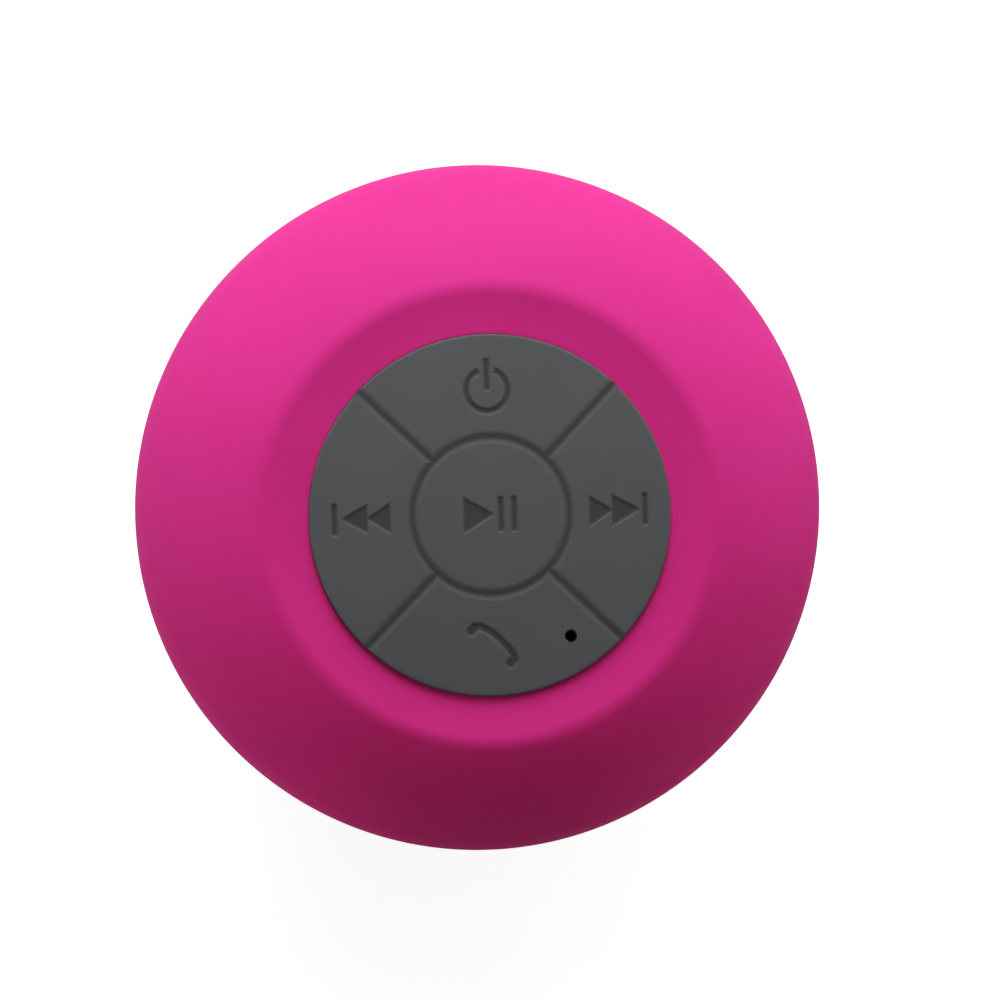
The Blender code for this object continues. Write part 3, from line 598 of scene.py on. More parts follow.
def sector_key(key):
    """A quarter of the keypad: a fine skin with its sign sunk in, straight sides and a flat bottom, with a nub below."""
    deg = SECTOR[key]
    r0, r1 = RING_R + GAP / 2, PAD_R
    rows = [r0 + 0.08 * k for k in range(12)]
    rows += spread(r0 + 1.1, r1 - 0.62, 0.34, [(11.4, 19.6, 0.075)])
    rows += [r1 - v for v in (0.5, 0.38, 0.27, 0.18, 0.1, 0.045, 0.012, 0.0)]
    rows = np.array(sorted(set(np.round(rows, 5))))
    side = [0.0, 0.005, 0.010, 0.015, 0.020, 0.026, 0.032, 0.039, 0.046, 0.054, 0.062, 0.071]
    inner = spread(-1 + 0.08, 1 - 0.08, 0.028, [(-0.37, 0.37, 0.0068)])
    cols = np.array(sorted([-1 + v for v in side] + inner + [1 - v for v in side]))
    rr, ss = np.meshgrid(rows, cols, indexing="ij")
    limit = math.pi / 4 - np.arcsin(GAP / 2 / rr)
    th = ss * limit
    lx, ly = rr * np.cos(th), rr * np.sin(th)
    d_side = (lx - np.abs(ly)) / math.sqrt(2) - GAP / 2
    drop = np.maximum(groove_drop(np.minimum(d_side, rr - r0) + GAP / 2), edge_drop(r1 - rr, PAD_EDGE, PAD_DROP))
    a = math.radians(deg)
    x, y = lx * math.cos(a) - ly * math.sin(a), lx * math.sin(a) + ly * math.cos(a)
    sunk = sunk_share(key, x, y)
    z = pad_z(rr) - drop - SIGN_DEEP * sunk
    nr, ns = rr.shape
    verts = [tuple(v) for v in np.stack([x, y, z], -1).reshape(-1, 3)]
    idx = np.arange(nr * ns).reshape(nr, ns)
    faces = [(int(idx[i, j]), int(idx[i + 1, j]), int(idx[i + 1, j + 1]), int(idx[i, j + 1])) for i in range(nr - 1) for j in range(ns - 1)]
    low = {}

    def bottom(v):
        if v not in low:
            low[v] = len(verts)
            verts.append((verts[v][0], verts[v][1], KEY_BOTTOM))
        return low[v]

    for i in (0, nr - 1):
        for j in range(ns - 1):
            p, q = int(idx[i, j]), int(idx[i, j + 1])
            faces.append((p, q, bottom(q), bottom(p)))
    for j in range(ns - 1):
        faces.append((bottom(int(idx[0, j])), bottom(int(idx[0, j + 1])), bottom(int(idx[-1, j + 1])), bottom(int(idx[-1, j]))))
    for j in (0, ns - 1):
        faces.append(tuple(int(v) for v in idx[:, j]) + (bottom(int(idx[-1, j])), bottom(int(idx[0, j]))))
    return obj_from("key_" + key + "_face", verts, faces, 48.0)


def centre_key():
    r1 = RING_R - GAP / 2
    rows = [0.0] + spread(0.06, 4.3, 0.08) + spread(4.5, r1 - 1.1, 0.3) + [r1 - 0.08 * k for k in range(12)]
    rows = np.array(sorted(set(np.round(rows, 5))))
    seg = 360
    ang = np.arange(seg) * math.tau / seg
    verts, rings = [], []
    for r in rows:
        x, y = (r * np.cos(ang), r * np.sin(ang)) if r > 0 else (np.zeros(1), np.zeros(1))
        z = pad_z(np.full_like(x, r)) - groove_drop(r1 - r + GAP / 2) - SIGN_DEEP * sunk_share("play", x, y)
        rings.append(list(range(len(verts), len(verts) + len(x))))
        verts += list(zip(x.tolist(), y.tolist(), z.tolist()))
    for r, z in ((r1, KEY_BOTTOM), (1.6, KEY_BOTTOM), (1.6, 47.55), (1.3, 47.25)):
        rings.append(list(range(len(verts), len(verts) + seg)))
        verts += [(r * math.cos(t), r * math.sin(t), z) for t in ang]
    rings.append([len(verts)])
    verts.append((0, 0, 47.25))
    faces = []
    for a, b in zip(rings, rings[1:]):
        for k in range(seg):
            k2 = (k + 1) % seg
            if len(a) == 1:
                faces.append((a[0], b[k], b[k2]))
            elif len(b) == 1:
                faces.append((a[k], b[0], a[k2]))
            else:
                faces.append((a[k], b[k], b[k2], a[k2]))
    return obj_from("key_play_face", verts, faces, 48.0)


# painted shade: the sunk attribute says how much the key's colour is darkened in the signs and the grooves
def mark_painted_shade(obj, key):
    n = len(obj.data.vertices)
    co = np.zeros(n * 3, np.float32)
    obj.data.vertices.foreach_get("co", co)
    co = co.reshape(-1, 3) / MM
    share = np.where(co[:, 2] > 51.4, np.maximum(0.84 * sunk_share(key, co[:, 0], co[:, 1]), groove_painted_shade(groove_line(co[:, 0], co[:, 1]))), 0.0)
    # painted shade: the points of the microphone bore, which get a near-black colour
    hole = (np.hypot(co[:, 0] - MIC_AT[0], co[:, 1] - MIC_AT[1]) < 0.70) & (key == "call")
    obj.data.attributes.new("hole", "FLOAT", "POINT").data.foreach_set("value", hole.astype(np.float32))
    for old in [a for a in obj.data.attributes if a.name == "sunk"]:
        obj.data.attributes.remove(old)
    obj.data.attributes.new("sunk", "FLOAT", "POINT").data.foreach_set("value", share.astype(np.float32))


for key in ("play", "power", "previous", "next", "call"):
    if key == "play":
        o = centre_key()
    else:
        o = sector_key(key)
        nx, ny = NUB_AT[key]
        nub = lathe("nub", [(0, 51.6), (1.6, 51.6), (1.6, 47.55), (1.3, 47.25), (0, 47.25)], 32, at=(nx, ny))
        boolean(o, "UNION", nub, 48.0)
    if key == "call":
        hole = lathe("hole", [(0, 56), (0.84, 56), (0.84, 53.66), (0.76, 53.57), (0.70, 53.46), (0.665, 53.3), (0.66, 53.0), (0.66, 50), (0, 50)], 64, at=MIC_AT)
        boolean(o, "DIFFERENCE", hole, 48.0)
    mark_painted_shade(o, key)
    put(o, "key_" + key, grey_key, ("key_" + key,))

# ---- keypad membrane: the thin sheet under the keys, with a raised rim ------------------------------------------------
web = lathe(
    "keypad_membrane",
    [(0, 50.4), (22.6, 50.4), (22.75, 50.45), (23.3, 50.45), (23.45, 50.4), (23.5, 50.3), (23.5, 49.95), (23.4, 49.85), (0, 49.85)],
    256,
)
for at in NUB_AT.values():
    boolean(web, "DIFFERENCE", lathe("h", [(0, 52.2), (2.1, 52.2), (2.1, 49), (0, 49)], 32, at=at), 40.0)
boolean(web, "DIFFERENCE", lathe("h", [(0, 52.2), (0.9, 52.2), (0.9, 49), (0, 49)], 24, at=MIC_AT), 40.0)
web.data.attributes.new("sunk", "FLOAT", "POINT").data.foreach_set("value", np.zeros(len(web.data.vertices), np.float32))
put(web, "housing", grey_key, ("keypad_web",))

# ---- silicone sleeve -----------------------------------------------------------------------------------------------
OPEN_R = PAD_R + 0.015
outer = [dome_point(a) for a in np.arange(DISH, 88.0, 1.25)]
outer += [dome_point(88.2), dome_point(89.0, -0.035), dome_point(90.0, -0.05), (BODY_R + 0.035, RIM_Z - 0.12), dome_point(92.6)]
outer += [dome_point(a) for a in np.arange(94.0, 125.5, 2.0)]
hem = [dome_point(125.0), (41.35, 31.2), (40.5, 31.2), (40.5, 32.5)]
hem = fillet([dome_point(122.0)] + hem + [dome_point(112, SLEEVE_T)], [0, 0, 0.35, 0.3, 0.4, 0])
inner = [dome_point(a, SLEEVE_T) for a in np.arange(110.0, DISH - 0.1, -4.0)]
lip = fillet([(25.0, dish_z(25.0, SLEEVE_T)), (OPEN_R, dish_z(OPEN_R, SLEEVE_T)), (OPEN_R, dish_z(OPEN_R)), (25.0, dish_z(25.0))], [0, 0.2, 0.07, 0], 6)
outer = [(r, z - dish_sag(r)) for r, z in [(v, dish_z(v)) for v in np.arange(22.4, 26.6, 0.3)] + outer]
profile = outer + hem[1:-1] + inner + lip[:-1]
sleeve = lathe("silicone_sleeve_skin", profile, 288, 40.0)
put(sleeve, "housing", pink, ("silicone_sleeve",))

# ---- back cover ----------------------------------------------------------------------------------------------------
WALL_H = 2.0 / math.cos(SLOPE)
pts = [(38.1, 32.6), (40.2, 32.6), (40.2, 31.5), (31.0, 16.6), (30.1, 16.0), (12.6, 16.0), (12.3, 16.4), (10.2, 16.4), (9.9, 16.0), (4.8, 16.0), (4.8, 18.0),
       (28.9, 18.0), (cone_r(18.4) - WALL_H, 18.4), (cone_r(30.9) - WALL_H, 30.9), (38.1, 31.3), (38.1, 32.6)]
rad = [0, 0.2, 0.5, 1.6, 1.6, 0.3, 0.2, 0.2, 0.3, 0.3, 0.2, 0.8, 0.8, 0.6, 0.4, 0]
cover = lathe("back_cover_shell", fillet(pts, rad, 6), 240, 32.0)
SCREWS = [(26 * math.cos(math.radians(a)), 26 * math.sin(math.radians(a))) for a in (45, 135, 225, 315)]
for at in SCREWS:
    boolean(cover, "UNION", lathe("boss", fillet([(0, 23.6), (3.5, 23.6), (3.5, 17.0), (0, 17.0)], [0, 0.3, 0, 0]), 40, at=at))
    boolean(cover, "DIFFERENCE", lathe("bore", [(0, 24.5), (1.6, 24.5), (1.6, 20.0), (2.8, 20.0), (2.8, 16.25), (3.05, 16.0), (3.05, 15.0), (0, 15.0)], 40, at=at))
mid_r = cone_r(20.95) - WALL_H / 2
to_wall = Matrix(((0, 0, 1, 0), (1, 0, 0, 0), (0, 1, 0, 0), (0, 0, 0, 1)))
cutters = []
for i in range(24):
    c = prism("slot", rounded_rect(3.0, 5.4, 1.15), [(-2.6, 0.0), (0.62, 0.0), (0.82, 0.06), (0.95, 0.16), (1.04, 0.3), (3.0, 0.3)])
    place = Matrix.Rotation(math.tau * (i + 0.5) / 24, 4, "Z") @ Matrix.Translation(Vector((mid_r, 0, 20.95)) * MM) @ Matrix.Rotation(SLOPE, 4, "Y") @ to_wall
    c.data.transform(place)
    cutters.append(c)
boolean(cover, "DIFFERENCE", join("slots", cutters))

PORT = Vector((0.0, -cone_r(PORT_Z), PORT_Z))
T_AX, N_AX = Vector((0, -math.sin(SLOPE), math.cos(SLOPE))), Vector((0, -math.cos(SLOPE), -math.sin(SLOPE)))
PORT_M = Matrix.Translation(PORT * MM) @ Matrix((Vector((1, 0, 0)), T_AX, N_AX)).transposed().to_4x4()
pocket = prism("pocket", [(x, y - 0.1) for x, y in rounded_rect(13.4, 7.2, 1.0)], [(-1.4, 0.0), (-0.35, 0.0), (-0.12, 0.1), (0.05, 0.22), (3.0, 0.22)], PORT_M)
boolean(cover, "DIFFERENCE", pocket)
port_m = Matrix.Translation(Vector((0, 0, 28.55)) * MM) @ Matrix(((1, 0, 0, 0), (0, 0, 1, 0), (0, 1, 0, 0), (0, 0, 0, 1)))
boolean(cover, "DIFFERENCE", prism("port", rounded_rect(9.4, 3.7, 0.9), [(-41.0, 0.0), (-33.0, 0.0)], port_m))
put(cover, "housing", cover_grey, ("back_cover",))


# ---- charging port flap, its hinge strip and the socket behind it ----------------------------------------------------
def wall_point(x, t, d):
    """A point at x across, t up and d below the tapered wall's surface, at the port."""
    z_s = PORT_Z + t * math.cos(SLOPE)
    r_s = cone_r(z_s)
    sag = r_s - math.sqrt(max(r_s * r_s - x * x, 0))
    p = PORT + Vector((x, 0, 0)) + T_AX * t
    n_out = N_AX
    return p - n_out * (d + sag * math.cos(SLOPE))


def flap_plate():
    w, l, rad = 6.4, 3.2, 0.85
    ts = sorted(set([round(v, 4) for v in [-3.2, -3.17, -3.1, -3.0, -2.85, -2.6, -2.35] + list(np.arange(-2.1, 2.2, 0.3)) + [2.35, 2.6, 2.85, 3.0, 3.1, 3.17, 3.2]]))
    ss = sorted([-1, -0.993, -0.98, -0.96, -0.93] + list(np.arange(-0.88, 0.89, 0.08)) + [0.93, 0.96, 0.98, 0.993, 1])
    verts, top, low = [], [], []
    for t in ts:
        c = max(0.0, abs(t) - (l - rad))
        half = w - (rad - math.sqrt(max(rad * rad - c * c, 0)))
        row_t, row_l = [], []
        for s in ss:
            x = s * half
            qx, qy = max(abs(x) - (w - rad), 0), c
            inside = rad - math.hypot(qx, qy) if qx > 0 and qy > 0 else min(w - abs(x), l - abs(t))
            drop = float(edge_drop(max(inside, 0.0), 0.3))
            scoop = 0.38 * max(0.0, 1 - (x / 2.3) ** 2 - ((t - 3.2) / 1.15) ** 2) ** 0.5
            row_t.append(len(verts))
            verts.append(wall_point(x, t, drop + scoop))
            row_l.append(len(verts))
            p = PORT + Vector((x, 0, 0)) + T_AX * t - N_AX * 1.02
            verts.append(p)
        top.append(row_t)
        low.append(row_l)
    faces = []
    n, m = len(ts), len(ss)
    for i in range(n - 1):
        for j in range(m - 1):
            faces.append((top[i][j], top[i][j + 1], top[i + 1][j + 1], top[i + 1][j]))
            faces.append((low[i][j], low[i + 1][j], low[i + 1][j + 1], low[i][j + 1]))
    ring_t = top[0] + [r[-1] for r in top[1:]] + top[-1][-2::-1] + [r[0] for r in top[-2:0:-1]]
    ring_l = low[0] + [r[-1] for r in low[1:]] + low[-1][-2::-1] + [r[0] for r in low[-2:0:-1]]
    for k in range(len(ring_t)):
        k2 = (k + 1) % len(ring_t)
        faces.append((ring_t[k], ring_t[k2], ring_l[k2], ring_l[k]))
    return obj_from("port_flap", verts, faces, 40.0)


flap = flap_plate()
plug = prism("plug", [(x, y - 0.65) for x, y in rounded_rect(8.4, 2.1, 0.6)], [(-2.1, -0.22), (-2.0, -0.08), (-1.85, 0.0), (-0.9, 0.0)], PORT_M)
boolean(flap, "UNION", plug, 40.0)
put(flap, "flap", pink, ("usb_flap",))

strap_rows = [(-3.62, 1.34), (-3.4, 1.3), (-3.15, 1.22), (-2.9, 1.12), (-2.65, 1.02), (-2.4, 0.95), (-2.1, 0.9), (-1.8, 0.88)]
verts, faces = [], []
for t, d in strap_rows:
    for x in (-3.0, -2.9, 2.9, 3.0):
        edge = 0.06 if abs(x) > 2.95 else 0.0
        verts.append(PORT + Vector((x, 0, 0)) + T_AX * t - N_AX * (d + 0.0 + edge))
    for x in (3.0, 2.9, -2.9, -3.0):
        edge = 0.06 if abs(x) > 2.95 else 0.0
        verts.append(PORT + Vector((x, 0, 0)) + T_AX * t - N_AX * (d + 0.24 - edge))
for k in range(len(strap_rows) - 1):
    for j in range(8):
        j2 = (j + 1) % 8
        faces.append((k * 8 + j, k * 8 + j2, (k + 1) * 8 + j2, (k + 1) * 8 + j))
faces += [tuple(range(7, -1, -1)), tuple(len(verts) - 8 + j for j in range(8))]
strap = obj_from("flap_hinge_strip", verts, faces)
strap.data.materials.append(pink.mat)
start, end = PORT + T_AX * -3.45 - N_AX * 1.1, PORT + T_AX * -2.25 - N_AX * 1.1
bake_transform(strap, "housing", "flap", start=tuple(start * MM), end=tuple(end * MM))

sock_m = Matrix.Translation(Vector((0, 0, 28.5)) * MM) @ Matrix(((1, 0, 0, 0), (0, 0, 1, 0), (0, 1, 0, 0), (0, 0, 0, 1)))
outline = [(-3.75, 0.5), (-3.75, 0.9), (-3.35, 1.3), (3.35, 1.3), (3.75, 0.9), (3.75, 0.5), (3.0, -1.0), (2.6, -1.3), (-2.6, -1.3), (-3.0, -1.0)]
socket = prism("usb_socket_shell", outline, [(-35.4, -0.05), (-35.32, 0.0), (-29.95, 0.0), (-29.9, -0.05)], sock_m)
bore = prism("bore", outline, [(-36.5, -0.22), (-35.38, -0.24), (-35.2, -0.32), (-30.6, -0.32)], sock_m)
boolean(socket, "DIFFERENCE", bore)
put(socket, "housing", steel, ("usb_socket",))
tongue = prism("usb_socket_tongue", [(x, y + 0.25) for x, y in rounded_rect(4.6, 0.6, 0.12, 3)], [(-34.7, -0.1), (-34.6, 0.0), (-30.65, 0.0)], sock_m)
put(tongue, "housing", black_abs)

# ---- suction cup: a skirt that flattens and a stem that moves with the housing ------------------------------------------
def catmull(points, per):
    pts = [np.array(p, float) for p in points]
    pts = [2 * pts[0] - pts[1], *pts, 2 * pts[-1] - pts[-2]]
    out = []
    for i in range(1, len(pts) - 2):
        a, b, c, d = pts[i - 1 : i + 3]
        for k in range(per):
            t = k / per
            out.append(tuple(0.5 * (2 * b + (c - a) * t + (2 * a - 5 * b + 4 * c - d) * t * t + (3 * b - a - 3 * c + d) * t**3)))
    out.append(tuple(pts[-2]))
    return out


SPLIT = 9.5
outer = catmull([(8.0, 13.4), (8.05, 12.2), (8.75, 10.95), (10.9, 9.75), (15.0, 8.1), (21.0, 5.35), (26.0, 2.95), (28.9, 1.5)], 14)
lipline = fillet([outer[-1], (29.55, 1.15), (30.0, 0.75), (30.0, 0.0), (29.1, 0.0), (28.6, 0.22), (28.3, 0.22), (28.1, 0.36)], [0, 0.5, 0.4, 0.28, 0.15, 0, 0, 0], 5)
under = catmull([(28.1, 0.36), (26.0, 1.3), (18.0, 4.3), (9.0, 6.3), (4.0, 6.82), (0.0, 6.9)], 10)
hi = [p for p in outer if p[1] > SPLIT + 0.02]
lo = [p for p in outer if p[1] < SPLIT - 0.02]
k = next(i for i, p in enumerate(outer) if p[1] <= SPLIT)
pa, pb = outer[k - 1], outer[k]
f = (pa[1] - SPLIT) / (pa[1] - pb[1])
cut = (pa[0] + (pb[0] - pa[0]) * f, SPLIT)
skirt = lathe("suction_cup_skirt", [(0.0, SPLIT), cut] + lo + lipline[1:] + under[1:], 192, 40.0)
put(skirt, "cup", pink, ("suction_cup",))
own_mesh(skirt)
stem_line = fillet([(4.5, 17.6), (4.5, 15.7), (8.0, 15.7), (8.0, 13.4)], [0, 0.25, 0.9, 0], 6)
stem = lathe("suction_cup_stem", [(0.0, SPLIT + 0.25), (3.3, SPLIT + 0.25), (3.3, 17.45), (3.45, 17.6)] + stem_line[:-1] + hi + [cut, (0.0, SPLIT)], 128, 40.0)
put(stem, "housing", pink)


# ---- fasteners ------------------------------------------------------------------------------------------------------
def screw_piece(name, at, top_z, facing, head_r, head_h, shank_r, length, pitch, recess_r):
    """A pan-head screw with a cross recess and a helical thread. facing is +1 if its head looks up and -1 if down."""
    seg, core = 32, shank_r * 0.8
    head = [(0.0, 0.0), (head_r * 0.5, -0.02), (head_r * 0.8, -0.1 * head_h), (head_r * 0.97, -0.45 * head_h), (head_r, -0.75 * head_h), (head_r, -0.96 * head_h),
            (head_r * 0.97, -head_h), (core * 1.1, -head_h), (core, -head_h - 0.15)]
    prof = fillet(head, [0, 0, 0.25, 0.2, 0, 0, 0, 0, 0], 4)
    rings = [(r, z, 0.0) for r, z in prof]
    start, stop = -head_h - 0.4, -head_h - length + 0.9
    count = int((start - stop) / pitch * 8)
    for k in range(count + 1):
        z = start + (stop - start) * k / count
        ease = min(1.0, (start - z) / pitch, (z - stop) / pitch)
        rings.append((core, z, (shank_r - core) * max(0.0, ease)))
    rings += [(core * 0.75, stop - 0.35, 0.0), (core * 0.35, -head_h - length + 0.12, 0.0), (0.0, -head_h - length, 0.0)]
    verts, loops = [], []
    for r, z, crest in rings:
        if r == 0.0:
            loops.append([len(verts)])
            verts.append((0, 0, z))
            continue
        loops.append(list(range(len(verts), len(verts) + seg)))
        for k in range(seg):
            t = math.tau * k / seg
            phase = (z / pitch + k / seg) % 1.0
            rr = r + crest * max(0.0, 1 - abs(phase - 0.5) * 3.2)
            verts.append((rr * math.cos(t), rr * math.sin(t), z))
    faces = []
    for a, b in zip(loops, loops[1:]):
        for k in range(seg):
            k2 = (k + 1) % seg
            if len(a) == 1:
                faces.append((a[0], b[k], b[k2]))
            elif len(b) == 1:
                faces.append((a[k], b[0], a[k2]))
            else:
                faces.append((a[k], b[k], b[k2], a[k2]))
    o = obj_from(name, verts, faces, 38.0)
    w = recess_r * 0.34
    cross = [(recess_r, w / 2), (w * 0.62, w * 0.62), (w / 2, recess_r), (-w / 2, recess_r), (-w * 0.62, w * 0.62), (-recess_r, w / 2), (-recess_r, -w / 2),
             (-w * 0.62, -w * 0.62), (-w / 2, -recess_r), (w / 2, -recess_r), (w * 0.62, -w * 0.62), (recess_r, -w / 2)]
    verts, faces = [], []
    for z, k in ((0.6, 1.15), (0.0, 1.0), (-0.85 * head_h * 0.6, 0.72), (-0.85 * head_h, 0.3)):
        verts += [(x * k, y * k, z) for x, y in cross]
    for i in range(3):
        for j in range(12):
            j2 = (j + 1) % 12
            faces.append((i * 12 + j, i * 12 + j2, (i + 1) * 12 + j2, (i + 1) * 12 + j))
    faces += [tuple(range(12)), tuple(range(47, 35, -1))]
    boolean(o, "DIFFERENCE", obj_from("recess", verts, faces), 38.0)
    place = Matrix.Translation(Vector((at[0], at[1], top_z)) * MM)
    if facing < 0:
        place = place @ Matrix.Rotation(math.pi, 4, "X")
    o.data.transform(place)
    return o


for i, at in enumerate(SCREWS, 1):
    put(screw_piece(f"housing_screw_{i}_turned", at, 18.2, -1, 2.4, 1.75, 1.2, 15.0, 1.0, 1.35), "housing", zinc, (f"housing_screw_{i}",))
for i, at in enumerate([(17.3, 10.0), (-17.3, 10.0), (-5.0, -19.4)], 1):
    put(screw_piece(f"board_screw_{i}_turned", at, 42.6, -1, 1.8, 1.33, 0.85, 3.2, 0.7, 1.0), "housing", zinc, (f"board_screw_{i}",))
put(screw_piece("cup_screw_turned", (0, 0), 20.9, 1, 2.9, 1.93, 1.5, 8.5, 0.5, 1.6), "housing", steel, ("cup_screw",))
washer = lathe("cup_washer_turned", fillet([(1.8, 18.9), (7.0, 18.9), (7.0, 18.1), (1.8, 18.1), (1.8, 18.9)], [0, 0.15, 0.15, 0.1, 0], 3), 96)
put(washer, "housing", zinc, ("cup_washer",))
insert_line = [(1.8, 17.2), (1.9, 17.3), (2.85, 17.3), (3.0, 17.15), (3.0, 14.6), (2.7, 14.3), (2.7, 13.3), (3.0, 13.0), (3.0, 9.95), (2.85, 9.8), (1.9, 9.8), (1.8, 9.9)]
insert = lathe("cup_insert_turned", insert_line, 64)
put(insert, "housing", brass, ("cup_insert",))

# ---- finishes of the inner pieces -------------------------------------------------------------------------------------
board_mask = Mat("board_green", (0.012, 0.115, 0.045), 0.28, spec=0.5)
trace = board_mask.voronoi(420.0, "DISTANCE_TO_EDGE")
line = board_mask.math("LESS_THAN", trace, 0.055)
pads = board_mask.math("LESS_THAN", board_mask.voronoi(900.0), 0.16)
tone = board_mask.mix(line, (0.010, 0.105, 0.040), (0.022, 0.165, 0.065))
board_mask.colour(board_mask.mix(pads, tone, (0.62, 0.58, 0.50)))
board_mask.rough(board_mask.noise(300.0), 0.22, 0.36)
board_mask.bump(board_mask.math("ADD", line, pads), 0.02)

ferrite = moulded("ferrite_black", (0.035, 0.035, 0.038), 0.62, 0.02, 2200.0)
winding = Mat("copper_winding", (0.78, 0.33, 0.14), 0.3, 1.0)
turns = winding.noise(2600.0, 1.0, 0.5, (0.02, 0.02, 2.2))
winding.colour(winding.mix(turns, (0.62, 0.22, 0.08), (0.90, 0.45, 0.22)))
winding.bump(turns, 0.03)
winding.rough(winding.noise(400.0), 0.25, 0.4)
cone_film = silicone("cone_film_black", (0.022, 0.022, 0.024), 0.42, 0.0, 0.02)
spider_cloth = Mat("spider_cloth", (0.50, 0.30, 0.10), 0.85, spec=0.2)
weave_a = spider_cloth.noise(3200.0, 0.0, 0.5, (1.0, 0.05, 1.0))
weave_b = spider_cloth.noise(3200.0, 0.0, 0.5, (0.05, 1.0, 1.0))
weave = spider_cloth.math("MAXIMUM", weave_a, weave_b)
spider_cloth.colour(spider_cloth.mix(spider_cloth.range(weave, 0.0, 1.0, 0.4, 0.7), (0.36, 0.20, 0.06), (0.58, 0.37, 0.14)))
spider_cloth.bump(weave, 0.06)
chip_epoxy = moulded("chip_epoxy", (0.017, 0.017, 0.018), 0.5, 0.01, 6000.0)
foil = metal("battery_foil", (0.58, 0.58, 0.60), 0.36, (1.0, 1.0, 1.0), 500.0)
foil.bump(foil.noise(260.0, 4.0, 0.6), 0.08)
red_wire = silicone("red_wire", (0.55, 0.012, 0.010), 0.38, 0.0, 0.006)
black_wire = silicone("black_wire", (0.014, 0.014, 0.015), 0.38, 0.0, 0.006)
ribbon = Mat("ribbon_cable", (0.62, 0.60, 0.54), 0.4)
strands = ribbon.node("ShaderNodeTexWave")
strands.bands_direction = "X"
strands.inputs["Scale"].default_value = 320.0
strands.inputs["Distortion"].default_value = 0.0
ribbon.link(ribbon.coord, strands.inputs["Vector"])
ribbon.colour(ribbon.mix(strands.outputs["Fac"], (0.66, 0.64, 0.58), (0.42, 0.36, 0.26)))
ribbon.bump(strands.outputs["Fac"], 0.05)
ribbon.rough(ribbon.noise(300.0), 0.35, 0.5)
led = Mat("led_lens", (0.80, 0.86, 0.92), 0.12, spec=0.6)
led.colour(led.mix(led.noise(900.0, 2.0), (0.72, 0.80, 0.88), (0.92, 0.90, 0.62)))
led.set("Transmission Weight", 0.4)
led.bump(led.noise(1500.0), 0.01)

mic_can = metal("microphone_can", (0.62, 0.62, 0.63), 0.3)
mic_low, mic_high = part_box("microphone")
where = mic_can.node("ShaderNodeSeparateXYZ")
mic_can.link(mic_can.node("ShaderNodeNewGeometry").outputs["Position"], where.inputs["Vector"])
felt = mic_can.math("GREATER_THAN", where.outputs["Z"], float(mic_high[2]) - 0.0002)
mic_base = mic_can.bsdf.inputs["Base Color"].links[0].from_socket
mic_can.colour(mic_can.mix(felt, mic_base, (0.008, 0.008, 0.008)))
mic_can.link(mic_can.math("SUBTRACT", 1.0, felt), mic_can.bsdf.inputs["Metallic"])
mic_can.set("Specular IOR Level", 0.1)

# ---- inner pieces: helpers ---------------------------------------------------------------------------------------------
def ring_line(points, radii, steps=4):
    """A closed (r, z) loop with its corners rounded."""
    a, b = np.array(points[0], float), np.array(points[-1], float)
    mid = tuple((a + b) / 2)
    return fillet([mid] + list(points) + [mid], [0] + list(radii) + [0], steps)


def mould(name, points, radius, seg, sharp=32.0, at=(0.0, 0.0)):
    """A turned piece, closed off the axis, with one corner radius."""
    return lathe(name, ring_line(points, [radius] * len(points)), seg, sharp, at)


def sweep(name, points, section, per=8, caps=0.0):
    """A section of (side, up) points carried along a smooth line."""
    line = [np.array(p) for p in catmull([tuple(p) for p in points], per)]
    frames = []
    up = None
    for i, p in enumerate(line):
        t = line[min(i + 1, len(line) - 1)] - line[max(i - 1, 0)]
        t = t / np.linalg.norm(t)
        if up is None:
            up = np.array((1.0, 0.0, 0.0))
        up = up - t * (up @ t)
        up = up / np.linalg.norm(up)
        frames.append((p, up.copy(), np.cross(t, up)))
    n = len(section)
    rings = [(frames[0], 1.0 - caps)] + [(f, 1.0) for f in frames[1:-1]] + [(frames[-1], 1.0 - caps)]
    verts, faces = [], []
    for (p, u, v), k in rings:
        verts += [tuple(p + u * (a * k) + v * (b * k)) for a, b in section]
    for k in range(len(rings) - 1):
        for j in range(n):
            j2 = (j + 1) % n
            faces.append((k * n + j, k * n + j2, (k + 1) * n + j2, (k + 1) * n + j))
    faces += [tuple(range(n - 1, -1, -1)), tuple(len(verts) - n + j for j in range(n))]
    return obj_from(name, verts, faces, 50.0)


def circle(rad, n=16):
    return [(rad * math.cos(math.tau * k / n), rad * math.sin(math.tau * k / n)) for k in range(n)]


def upright(name, outline, levels, at=(0.0, 0.0), turn=0.0):
    """A flat outline raised through (height, grown by) levels, turned and put at a place."""
    m = Matrix.Translation(Vector((at[0], at[1], 0)) * MM) @ Matrix.Rotation(math.radians(turn), 4, "Z")
    return prism(name, outline, levels, m)


def upright_block(name, w, h, z0, z1, rad=0.3, edge=0.12, at=(0.0, 0.0), turn=0.0):
    return upright(name, rounded_rect(w, h, rad, 4), [(z0, -edge), (z0 + edge * 0.3, -edge * 0.3), (z0 + edge, 0), (z1 - edge, 0), (z1 - edge * 0.3, -edge * 0.3), (z1, -edge)], at, turn)


